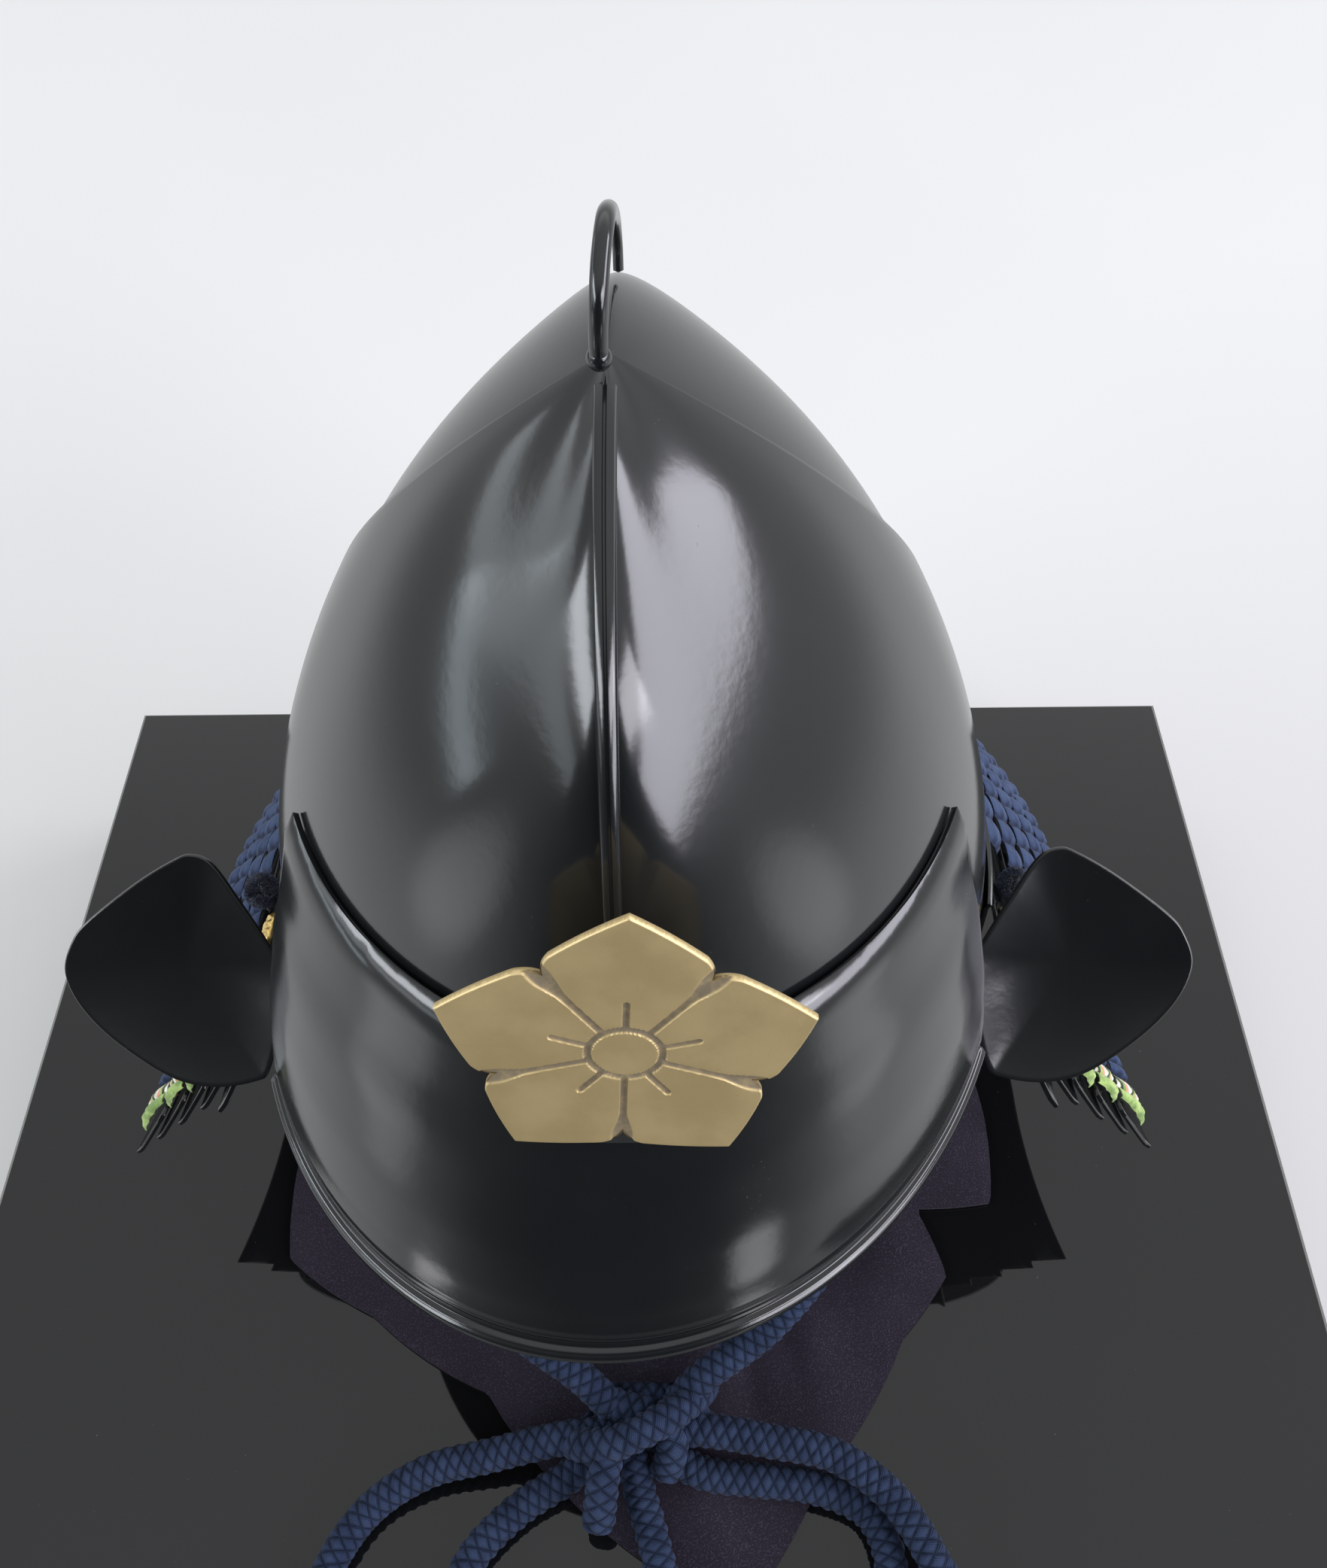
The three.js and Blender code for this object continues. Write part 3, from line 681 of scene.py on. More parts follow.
# %% The rib
RIB = {"half_width": 2.1, "low": 0.46, "high": 0.9955, "lift": 1.25, "off": 0.5, "foot": 0.92, "head": 1.12}
RIB_PROFILE = [(-1, -1.0), (-0.97, 0.0), (-0.8, 0.6), (-0.55, 0.85), (-0.18, 1.0), (-0.08, 0.8), (0.08, 0.8),
               (0.18, 1.0), (0.55, 0.85), (0.8, 0.6), (0.97, 0.0), (1, -1.0)]


def rib_place(u, v):
    side, lift = RIB_PROFILE[round(v * (len(RIB_PROFILE) - 1))]
    level = math.sin(mix(math.asin(RIB["low"]), math.asin(RIB["high"]), u))
    point = bowl_point(0, level)
    out = Vector((0, point.y / BOWL["front"] ** 2, (point.z - BOWL["base"]) / BOWL_RISE ** 2))
    point += out.normalized() * (RIB["off"] + lift * RIB["lift"])
    point.x += side * RIB["half_width"] * mix(RIB["foot"], RIB["head"], u)
    return at(*point)


rib = laid_grid("ridge_strip", 90, len(RIB_PROFILE) - 1, rib_place)
skin(rib, BOWL_MIDDLE, 0.0005, angle=25)

# %% [markdown]
# ## The visor
#
# The visor hangs on the bowl's front and juts out like the peak of a cap. It starts level on the bowl
# and ends in an ellipse, with a rolled bead and a shallow groove along the rim.

# %% The visor
VISOR = {"top": 0.445, "top_angle": 64, "seat": 2.2, "rim_angle": 64.5, "turn": -8.9, "rim_height": 130,
         "half_width": 102.3, "length": 127, "centre": (0.7, -16.7), "bulge": 3.2}
VISOR_LIFT = [(0, 0), (0.05, 0.5), (0.2, 0.6), (0.4, 1), (0.6, 1), (0.78, 0.7), (0.88, 0.34), (0.915, 0.22),
              (0.93, 0.02), (0.945, 0.0), (0.958, 0.3), (0.972, 0.44), (0.988, 0.36), (1, 0.05)]
# The rows crowd together over the last 12 hundredths, where the bead and the groove are.
VISOR_ROWS = [i / 16 * 0.88 for i in range(16)] + [0.88 + i / 30 * 0.12 for i in range(31)]


def visor_point(side, down, lift):
    angle = math.radians(side * VISOR["top_angle"])
    top = bowl_point(angle, VISOR["top"], -VISOR["seat"])
    top.z = BOWL["base"] + VISOR["top"] * BOWL_RISE
    turn = math.radians(VISOR["turn"])
    round_rim = math.radians(side * VISOR["rim_angle"]) - turn
    rim = Vector((VISOR["half_width"] * math.sin(round_rim), -VISOR["length"] * math.cos(round_rim),
                  VISOR["rim_height"]))
    rim = Matrix.Rotation(turn, 3, "Z") @ rim + Vector((*VISOR["centre"], 0))
    out = Vector((math.sin(angle), -math.cos(angle), 0.5)).normalized()
    return top.lerp(rim, down) + out * lift * VISOR["bulge"]


def visor_place(u, v):
    down = VISOR_ROWS[round(v * (len(VISOR_ROWS) - 1))]
    return at(*visor_point(2 * u - 1, down, between(down, VISOR_LIFT)))


peak = laid_grid("visor_plate", 150, len(VISOR_ROWS) - 1, visor_place)
plate(peak, at(0, 0, 120), THICK * MM)

# %% [markdown]
# ## Band and neck guard
#
# A band round the foot of the bowl carries the neck guard: five plates, each hung on silk lacing
# outside the one above. The plates' top edges are cut in shallow scallops.

# %% The waist band
BAND = {"top": 136, "bottom": 107, "front": 76, "off": 2.1, "flare": 0.03, "roll": 0.8}


def band_place(u, v):
    start = math.radians(BAND["front"])
    point = bowl_point(mix(start, 2 * math.pi - start, u), 0)
    height = mix(BAND["bottom"], BAND["top"], v)
    roll = BAND["roll"] * (smooth((0.14 - v) / 0.14) + smooth((v - 0.93) / 0.07))
    out = Vector((point.x, point.y, 0)).normalized()
    point += out * (BAND["off"] + (BAND["top"] - height) * BAND["flare"] + roll)
    point.z = height
    return at(*point)


band = laid_grid("waist_strap", 140, 28, band_place)
plate(band, at(0, 30, 120), THICK * MM)

# %% The neck guard's plan
GUARD = {"plates": 5, "top": 120, "pitch": 11.2, "height": 18, "thickness": 0.0014, "front_length": 60,
         "front_share": 0.3, "front_slope": 0.25, "spread": 8, "spread_at": 45}
SIDE = {"first": 5.4, "step": 8.3, "slope": 0.5}
REAR = {"first": 5.4, "step": 3.5, "slope": 0.12}
EAR = {"x": -2.2, "low_y": -67.6, "low": 110, "run": 46.3, "rise": 50, "curl": 3, "behind": 5}


def guard_top(k):
    return GUARD["top"] - k * GUARD["pitch"]


def guard_offset(k, z, way):
    return way["first"] + k * way["step"] + (guard_top(k) - z) * way["slope"]


def guard_front(k, z):
    if k == 0:
        return EAR["low_y"] + (z - EAR["low"]) * EAR["run"] / EAR["rise"] + EAR["behind"]
    return -GUARD["front_length"] + (z - guard_top(k)) * GUARD["front_slope"]


def front_spread(y, off):
    """How much wider the guard's straight front part gets towards its end."""
    return GUARD["spread"] * (y / GUARD["front_length"]) ** 2 * off / GUARD["spread_at"]


def guard_point(k, run, z, lift=0.0):
    """A point on plate k: run goes from -1 at the right front end round the back to 1 at the left."""
    side_off, rear_off = guard_offset(k, z, SIDE) + lift, guard_offset(k, z, REAR) + lift
    side = -1 if run > 0 else 1
    along, straight = abs(run), 1 - GUARD["front_share"]
    if along > straight:
        y = guard_front(k, z) * (along - straight) / GUARD["front_share"]
        return Vector((side * (BOWL["half_width"] + side_off + front_spread(y, side_off)), y, z))
    angle = along / straight * math.pi / 2
    return Vector((side * (BOWL["half_width"] + side_off) * math.sin(angle),
                   (BOWL["rear"] + rear_off) * math.cos(angle), z))


# %% The five plates
SCALLOP = {"count": 44, "depth": 1.3}
guard_plates = []
for k in range(GUARD["plates"]):
    def plate_place(u, v, k=k):
        scallop = SCALLOP["depth"] * (1 - abs(math.sin(math.pi * SCALLOP["count"] * u)) ** 0.6)
        top = guard_top(k) - scallop
        z = mix(guard_top(k) - GUARD["height"], top, v)
        rolled = 0.5 * smooth((0.1 - v) / 0.1)
        return at(*guard_point(k, 2 * u - 1, z, rolled))

    lame = laid_grid(f"neck_lame_{k + 1}", 352, 10, plate_place)
    plate(lame, at(0, 20, guard_top(k) - GUARD["height"] / 2), GUARD["thickness"], rim=0.00025)
    guard_plates.append(lame)

# %% [markdown]
# Each plate hangs from the one above on rows of close-set navy lacing. A row is a padded strip whose
# height follows the laces: a row of rounded loops side by side, each with the small V marks of a flat
# braid.

# %% The lacing rows
LACE = {"seat": 0.45, "proud": 4.2, "height": 9.4, "middle": 4.6, "pitch": 6.2, "front_y": -48,
        "top_row_y": 8}
LACE_RELIEF = {"base": 0.3, "lump": 0.62, "mark": 0.08, "marks": 3.2, "slant": 1.1}
ROW_LENGTH = {"whole": 620, "first": 0.62, "more": 0.09}


def run_at(k, y):
    """How far round plate k the given y lies."""
    if y < 0:
        middle = guard_front(k, guard_top(k) - LACE["middle"])
        return 1 - GUARD["front_share"] + GUARD["front_share"] * y / middle
    return math.acos(y / BOWL["rear"]) / (math.pi / 2) * (1 - GUARD["front_share"])


def lace_height(along, down):
    """How proud the lacing stands, 0 to 1: along in laces, down from 0 at the top to 1."""
    lump = abs(math.sin(math.pi * along)) ** 0.45
    ends = clamp(math.sin(math.pi * clamp(down * 0.94 + 0.03))) ** 0.5
    turns = down * LACE_RELIEF["marks"] + abs((along % 1) - 0.5) * LACE_RELIEF["slant"]
    mark = 0.5 + 0.5 * math.sin(2 * math.pi * turns)
    return ends * (LACE_RELIEF["base"] + LACE_RELIEF["lump"] * lump + LACE_RELIEF["mark"] * mark)


def lace_strip(name, k, start, end, height, laces, rows=14, per_lace=8):
    """A thin padded strip of lacing on plate k, from one run to another."""
    top = guard_top(k) - 0.2

    def place(u, v):
        run = mix(start, end, u)
        proud = LACE["seat"] + LACE["proud"] * lace_height(u * laces, 1 - v)
        return at(*guard_point(k, run, top - height * (1 - v), proud))

    strip = laid_grid(name, laces * per_lace, rows, place)
    for spot in strip.data.uv_layers[0].data:
        spot.uv = (spot.uv.x * laces, spot.uv.y)
    skin(strip, at(0, 20, top - height / 2), 0.0004)
    return strip


lace_navy = Finish("navy lacing", Roughness=0.85, Specular_IOR_Level=0.15, Sheen_Weight=0.1)
lace_along, lace_down, _ = lace_navy.axes(lace_navy.uv)
lace_lump = (lace_along.fract() * math.pi).sin()
lace_fold = (lace_down * 20 + (lace_along.fract() - 0.5).abs() * 6.9).sin() * 0.5 + 0.5
lace_cloudy = lace_navy.noise(160, 4)
lace_painted_shade = lace_navy.blend(lace_cloudy.step(0.35, 0.7), (0.005, 0.009, 0.028), (0.009, 0.016, 0.044))
lace_painted_lit = lace_navy.blend(lace_cloudy.step(0.3, 0.65), (0.018, 0.034, 0.090), (0.032, 0.056, 0.125))
# Painted shade and painted light: the lacing is painted lighter on the middle of each loop and darker between loops,
# following its relief.
lace_painted_light = (lace_lump * 0.7 + lace_fold * 0.3).step(0.1, 0.85)
lace_navy.set("Base Color", lace_navy.blend(lace_painted_light, lace_painted_shade, lace_painted_lit))
lace_navy.bump(lace_fold * 0.5 + lace_navy.noise(2400, 2), 0.7, 0.0005)

for k in range(GUARD["plates"]):
    limit = run_at(k, LACE["top_row_y"] if k == 0 else LACE["front_y"])
    share = ROW_LENGTH["first"] + ROW_LENGTH["more"] * k
    count = round(ROW_LENGTH["whole"] * limit / LACE["pitch"] * share)
    row = lace_strip(f"navy_row_{k + 1}", k, -limit, limit, LACE["height"], count)
    lace_navy.on(row)
    settle(row, "navy_braid", [f"lacing_row_{k + 1}"])

# %% [markdown]
# At the front ends of the lower plates, a braid of many colours takes the place of the navy: white,
# salmon, light green and black threads in slanting stitches, with the green outermost.

# %% The many-coloured edge braid
edge = Finish("edge braid", Roughness=0.9, Sheen_Weight=0.3)
edge_along, edge_down, _ = edge.axes(edge.uv)
slant = edge_down * 3.1 + edge_along * 0.62 + edge.noise(90, 2) * 1.1
stitch = slant.fract()
green = edge.blend(edge.noise(300, 3).step(0.35, 0.65), (0.15, 0.26, 0.05), (0.36, 0.50, 0.14))
white = edge.blend(edge.noise(400, 3).step(0.3, 0.7), (0.52, 0.50, 0.42), (0.85, 0.84, 0.78))
salmon = edge.blend(edge.noise(350, 3).step(0.3, 0.7), (0.60, 0.20, 0.11), (0.80, 0.42, 0.28))
black = (0.012, 0.013, 0.014)
thread = edge.blend(stitch.step(0.30, 0.36), white, salmon)
thread = edge.blend(stitch.step(0.50, 0.56), thread, green)
thread = edge.blend(stitch.step(0.70, 0.75) * (1 - stitch.step(0.93, 0.98)), thread, black)
outermost = (edge_along + edge.noise(120, 2) * 0.5).step(1.28, 1.4)
edge.set("Base Color", edge.blend(outermost, thread, green))
edge.bump(stitch * 0.6 + edge.noise(2200, 2) * 0.8, 0.8, 0.0005)

EDGE_BRAID = {"width": 8, "height": 9.6, "last_height": 14}
for side_name, side in (("left", 1), ("right", -1)):
    for k in range(1, GUARD["plates"]):
        near = run_at(k, LACE["front_y"] - 1)
        far = run_at(k, LACE["front_y"] - 1 - EDGE_BRAID["width"])
        height = EDGE_BRAID["last_height"] if k == GUARD["plates"] - 1 else EDGE_BRAID["height"]
        braid = lace_strip(f"edge_stitch_{side_name}_{k + 1}", k, side * near, side * far, height, 2, 24, 16)
        edge.on(braid)
        settle(braid, "edge_braid", [f"edge_braid_{side_name}_{k + 1}"])

# %% [markdown]
# ## The turned-back ears
#
# The first plate's front ends are turned outwards into two broad ears. Each is a slightly dished disc
# of thin metal with a rounded rim, so the grid is rolled into rings that shrink to the middle.

# %% The ears
EAR_OUTLINE = [(99.5, 6.2), (103.5, 3), (115, 1.4), (127, 4.4), (141, 14.6), (150, 25), (153.6, 35),
               (151, 43.5), (146, 49.5), (132, 60), (121.5, 66.2), (116.5, 67.8), (111, 65.2), (104.5, 55),
               (97.6, 43), (93.8, 34), (96, 20)]


def spline(points, share, closed=False):
    """A point on the smooth curve through a list of points, for a share of its length in rows."""
    count = len(points)
    place = share % 1 * count if closed else clamp(share) * (count - 1)
    i = int(place) if closed else min(int(place), count - 2)
    t = place - i
    near = [(i + step) % count if closed else int(clamp(i + step, 0, count - 1)) for step in (-1, 0, 1, 2)]
    p = [Vector(points[n]) for n in near]
    return 0.5 * (2 * p[1] + (p[2] - p[0]) * t + (2 * p[0] - 5 * p[1] + 4 * p[2] - p[3]) * t ** 2
                  + (3 * p[1] - 3 * p[2] + p[3] - p[0]) * t ** 3)


def ear(name, side):
    middle = sum((Vector(p) for p in EAR_OUTLINE), Vector((0, 0))) / len(EAR_OUTLINE)
    slant = math.hypot(EAR["run"], EAR["rise"])
    back = Vector((0, EAR["rise"], -EAR["run"])) / slant

    def place(u, v):
        spot = middle.lerp(spline(EAR_OUTLINE, u, closed=True), v)
        up = spot.y / slant
        point = Vector((EAR["x"] + side * spot.x, EAR["low_y"] + up * EAR["run"],
                        EAR["low"] + up * EAR["rise"]))
        return at(*(point + back * EAR["curl"] * (1 - v ** 2)))

    piece = laid_grid(name, 136, 24, place, joined=True)
    bulk = sum((point.co for point in piece.data.vertices), Vector()) / len(piece.data.vertices)
    plate(piece, bulk + back * 0.1, GUARD["thickness"], rim=0.0004, segments=3)
    return piece


ears = [ear("ear_left", -1), ear("ear_right", 1)]

# %% [markdown]
# ## The stalk
#
# A slim rod rises behind the summit, curls forward over it and thickens towards the small ball that
# seems to rest on the keel. A dark collar joins the ball to the bowl.

# %% The stalk
STALK_ROUTE = [(0.9, 42.4, 290.5), (0.9, 43.6, 296), (0.9, 38.5, 304.5), (0.9, 28, 312.8), (0.8, 16, 320.4),
               (0.6, 7, 323.3), (-0.1, -1, 320.5), (-0.6, -6, 315), (-1, -7, 308), (-1.1, -6.5, 304.2)]
STALK = {"radius": 1.85, "foot_radius": 1.15, "ball": 2.5, "ball_at": (-1.1, -6.5, 304.2)}
# Each row is a height and a radius.
COLLAR = [(301.2, 0), (301.2, 1.9), (301.6, 2.1), (302, 1.9), (302.4, 1.45), (303, 1.4), (303.6, 1.4),
          (304, 0)]


def rolled_tube(name, line, radius_at, around=24):
    """A round rod along a line of points, closed at both ends."""
    frames = frames_along(line)
    last = len(line) - 1

    def place(u, v):
        i = round(u * last)
        side, up = frames[i]
        angle = 2 * math.pi * v
        return at(*(line[i] + (side * math.cos(angle) + up * math.sin(angle)) * radius_at(i / last)))

    return laid_grid(name, last, around, place, joined=True)


def stalk_radius(share):
    if share in (0, 1):
        return 0.0
    return mix(STALK["foot_radius"], STALK["radius"], smooth((share - 0.05) / 0.6))


stalk_line, _ = curve_through(STALK_ROUTE, 0.6)
rod = rolled_tube("stalk_rod", stalk_line, stalk_radius)
deselect()
bpy.ops.mesh.primitive_uv_sphere_add(segments=32, ring_count=16, radius=STALK["ball"] * MM,
                                     location=at(*STALK["ball_at"]))
bpy.ops.object.transform_apply(location=True)
ball = bpy.context.object
x, y, _ = STALK["ball_at"]
collar_line = [Vector((x, y, height)) for height, _ in COLLAR]
collar = rolled_tube("collar", collar_line, lambda share: COLLAR[round(share * (len(COLLAR) - 1))][1])
stalk = joined_up("curled_rod", [rod, ball, collar])
smooth_shade(stalk, 60)

# %% [markdown]
# ## The black lacquer
#
# Many thin coats make the lacquer black, deep and satin: it mirrors the white room in broad soft
# patches, with a faint orange-peel ripple and a little dust.

# %% The black lacquer
lacquer = Finish("black lacquer", IOR=1.54)
ripple = lacquer.noise(420, 2)
swirl = lacquer.noise(22, 4)
dust = lacquer.noise(1500, 2).step(0.70, 0.78) * lacquer.noise(60, 3).step(0.45, 0.75)
lacquer_black = lacquer.blend(swirl.step(0.3, 0.75), (0.0045, 0.0055, 0.0062), (0.0070, 0.0080, 0.0088))
lacquer.set("Base Color", lacquer.blend(dust * 0.35, lacquer_black, (0.10, 0.10, 0.10)))
lacquer.set("Roughness", 0.115 + swirl * 0.05 + dust * 0.3)
lacquer.bump(ripple * 0.5 + swirl * 0.5, 0.10, 0.0003)

LACQUERED = {"bowl_front_plates": front_half, "bowl_rear_plates": rear_half, "ridge_rib": rib, "visor": peak,
             "waist_band": band, "curled_stalk": stalk, "turned_ear_left": ears[0],
             "turned_ear_right": ears[1]}
LACQUERED.update({f"neck_guard_plate_{k + 1}": piece for k, piece in enumerate(guard_plates)})
for node, piece in LACQUERED.items():
    lacquer.on(piece)
    settle(piece, "lacquer", [node])
lacquer.on(NODES["crest_socket"])

# %% [markdown]
# ## The crest
#
# A thick brass sheet is cut to the outline of a bellflower with five pointed petals. Grooves with round
# bottoms are engraved in its face: a ring, one groove to each notch and a short stroke on each petal. The
# rim is rounded over, and each groove widens where it runs out at its notch.

# %% The crest's outline
CREST = {"place": (2.4, -109, 222.9), "radius": 37.5, "bevel": 0.55, "lean": 12.3, "roll": -3.1,
         "swell": 0.25}
PETAL = [((0, 1), (13, 0.9), (28, 0.81)), ((28, 0.81), (34.5, 0.77), (36, 0.7)),
         ((36, 0.7), (37.5, 0.77), (44, 0.81)), ((44, 0.81), (59, 0.9), (72, 1))]
GROOVE = {"depth": 0.75, "half_width": 0.82, "ring": 7.2, "stroke_end": 14.6}


def polar(angle, share):
    angle = math.radians(angle)
    return Vector((math.sin(angle), math.cos(angle))) * share


def petal_reach():
    """The outline's reach as (angle, share of the radius) rows for one petal's 72 degrees."""
    rows = []
    for start, control, end in PETAL:
        a, b, c = polar(*start), polar(*control), polar(*end)
        for i in range(CURVE_STEPS):
            share = i / CURVE_STEPS
            p = a.lerp(b, share).lerp(b.lerp(c, share), share)
            rows.append((math.degrees(math.atan2(p.x, p.y)), p.length))
    return rows + [(72, 1)]


REACH = petal_reach()


def crest_reach(angle):
    angle %= 72
    i = min(bisect.bisect_right([row[0] for row in REACH], angle), len(REACH) - 1)
    (a, low), (b, high) = REACH[i - 1], REACH[i]
    return mix(low, high, (angle - a) / (b - a)) * CREST["radius"]


def carved(angle, r):
    """How deep the engraving is, 0 to 1, at an angle in degrees and a distance in millimetres."""
    def cut(distance, half_width):
        return clamp(1 - (distance / half_width) ** 2) ** 0.5

    off_notch = math.radians((angle - 36 + 36) % 72 - 36)
    off_middle = math.radians((angle + 36) % 72 - 36)
    depth = cut(abs(r - GROOVE["ring"]), GROOVE["half_width"])
    if r > GROOVE["ring"] and abs(off_notch) < 1.2:
        flare = 1.5 * smooth((r - 19) / 8)
        depth = max(depth, cut(abs(r * math.sin(off_notch)), GROOVE["half_width"] + flare))
    if GROOVE["ring"] < r < GROOVE["stroke_end"] + 0.8:
        over = max(r - GROOVE["stroke_end"], 0)
        depth = max(depth, cut(math.hypot(r * math.sin(off_middle), over), GROOVE["half_width"] * 0.95))
    return depth


# %% The crest
CREST_FACE = 112
# The first rows cover most of the face, and the last ones crowd at the rim.
FIRST, LAST = {"rows": 0.8, "reach": 0.955}, {"rows": 0.2, "reach": 0.045}
CREST_BACK = [(1, -0.55), (1, -1.5), (0.985, -2), (0.5, -2), (0, -2)]
CREST_TURN = (Matrix.Rotation(math.radians(90 - CREST["lean"]), 3, "X")
              @ Matrix.Rotation(math.radians(CREST["roll"]), 3, "Z"))


def crest_spot(u, v):
    """The crest's own place, with how deep it is carved and how near the rim it lies."""
    row, angle = round(v * (CREST_FACE + len(CREST_BACK))), u * 360
    reach = crest_reach(angle)
    if row > CREST_FACE:
        share, depth = CREST_BACK[row - CREST_FACE - 1]
        return reach * share, depth, 0.0, 0.0
    share = row / CREST_FACE
    if share < FIRST["rows"]:
        share = share * FIRST["reach"] / FIRST["rows"]
    else:
        share = FIRST["reach"] + (share - FIRST["rows"]) / LAST["rows"] * LAST["reach"]
    r = reach * share
    rim = clamp(1 - (reach - r) / CREST["bevel"])
    cut = carved(angle, r)
    swell = CREST["swell"] * smooth((reach - r) / 5)
    return r, swell - GROOVE["depth"] * cut - CREST["bevel"] * (1 - math.sqrt(1 - rim ** 2)), cut, rim


def crest_place(u, v):
    r, height, _, _ = crest_spot(u, v)
    angle = math.radians(u * 360)
    point = CREST_TURN @ Vector((r * math.sin(angle), r * math.cos(angle), height))
    return at(*(point + Vector(CREST["place"])))


CREST_COLUMNS = 620
crest = laid_grid("bellflower", CREST_COLUMNS, CREST_FACE + len(CREST_BACK), crest_place)
marks = crest.data.attributes.new("engraved", "FLOAT_VECTOR", "POINT")
for i, mark in enumerate(marks.data):
    column, row = i % (CREST_COLUMNS + 1), i // (CREST_COLUMNS + 1)
    _, _, cut, rim = crest_spot(column / CREST_COLUMNS, row / (CREST_FACE + len(CREST_BACK)))
    mark.vector = (cut, rim, 0)
merge(crest)
smooth_shade(crest, 50)

# %% [markdown]
# The brass has aged to a matte, slightly mottled gold. Dirt lies in the grooves, the rounded rim is painted brighter
# as a painted highlight, and a few small marks lie scattered on the petals.

# %% Aged brass
brass = Finish("aged brass", Metallic=0.7, IOR=1.5)
engraved, rim, _ = brass.axes(brass.node("ShaderNodeAttribute", {"attribute_name": "engraved"}, out=1))
patina = brass.noise(75, 5)
grain = brass.noise(1500, 3)
mark_noise = brass.noise(260, 2).step(0.71, 0.76) * brass.noise(40, 2).step(0.5, 0.62)
brass_face = brass.blend(patina.step(0.3, 0.72), (0.465, 0.355, 0.172), (0.540, 0.420, 0.212))
brass_face = brass.blend(mark_noise * 0.55, brass_face, (0.16, 0.115, 0.055))
# Painted highlight: the rounded rim is painted a lighter gold.
brass_face = brass.blend(rim.step(0.2, 0.8) * 0.6, brass_face, (0.70, 0.55, 0.29))
dirt = engraved.step(0.15, 0.7) * (brass.noise(420, 3).step(0.2, 0.6) * 0.35 + 0.6)
brass.set("Base Color", brass.blend(dirt, brass_face, (0.150, 0.120, 0.078)))
brass.set("Metallic", 0.7 - dirt * 0.5)
brass.set("Roughness", 0.44 + patina * 0.08 + grain * 0.06 + dirt * 0.25)
brass.bump(grain * 0.5 + patina * 0.3 + brass.noise(600, 2) * 0.3, 0.22, 0.0003)
brass.on(crest)
settle(crest, "gold", ["crest"])

# %% [markdown]
# ## Gilt fittings and blue knobs
#
# Behind each ear a little gilt fitting with five carved ridges is fixed on the first plate, and behind
# that sits a knob of blue floss.

# %% The gilt fittings
FITTING = {"y": -20, "height": 115, "width": 13, "tall": 9, "off": 0.7, "ridges": 5, "lobes": 0.05,
           "face": 0.9}
SIDES = {"left": -1, "right": 1}


def first_plate_x(y, z):
    off = guard_offset(0, z, SIDE)
    return BOWL["half_width"] + off + front_spread(y, off)


def fitting(name, side):
    lean = math.atan(SIDE["slope"])
    out, up = Vector((math.cos(lean), 0, math.sin(lean))), Vector((-math.sin(lean), 0, math.cos(lean)))
    seat_x = first_plate_x(FITTING["y"], FITTING["height"]) + FITTING["off"]
    seat = Vector((seat_x, FITTING["y"], FITTING["height"]))

    def place(u, v):
        angle, share = 2 * math.pi * u, min(v / FITTING["face"], 1)
        lobes = 1 + FITTING["lobes"] * abs(math.sin(angle * 4))
        a, b = share * lobes * math.cos(angle), share * lobes * math.sin(angle)
        ridge = 0.5 + 0.5 * math.cos(2 * math.pi * (a + 0.25 * b * b) * FITTING["ridges"] / 2)
        edge = math.sqrt(clamp(1 - share ** 2 * 0.999))
        fall = 1 if v <= FITTING["face"] else 1 - (v - FITTING["face"]) / 0.1
        height = (0.7 + 1.1 * ridge * edge + 1.0 * edge) * fall
        point = (seat + out * height + Vector((0, 1, 0)) * a * FITTING["width"] / 2
                 + up * b * FITTING["tall"] / 2)
        return at(side * point.x, point.y, point.z)

    piece = laid_grid(name, 96, 40, place, joined=True)
    smooth_shade(piece, 60)
    return piece


gilt = Finish("gilt", Metallic=1.0)
worn = gilt.noise(500, 4)
gilt.set("Base Color", gilt.blend(worn.step(0.3, 0.75), (0.50, 0.34, 0.10), (0.86, 0.64, 0.24)))
gilt.set("Roughness", 0.26 + worn * 0.16)
gilt.bump(worn, 0.3, 0.0002)
for side_name, side in SIDES.items():
    piece = fitting(f"carved_fitting_{side_name}", side)
    gilt.on(piece)
    settle(piece, "gilt", [f"gilt_fitting_{side_name}"])

# %% [markdown]
# A knob of floss is a lumpy ball with fine tufts that stand out from it. One narrow strip, led in and out
# round the ball, makes hundreds of flat tufts, each with a lean of its own.

# %% The blue knobs
KNOB = {"y": -6, "height": 116.5, "radius": 5.2, "seat": 1, "tufts": 900, "tuft": 1.3}
# Where in the noise each of a tuft's three directions of lean is read, the same on every run.
LEAN_SHIFTS = [Vector((9.3, 0, 0)), Vector((0, 9.3, 0)), Vector((0, 0, 9.3))]


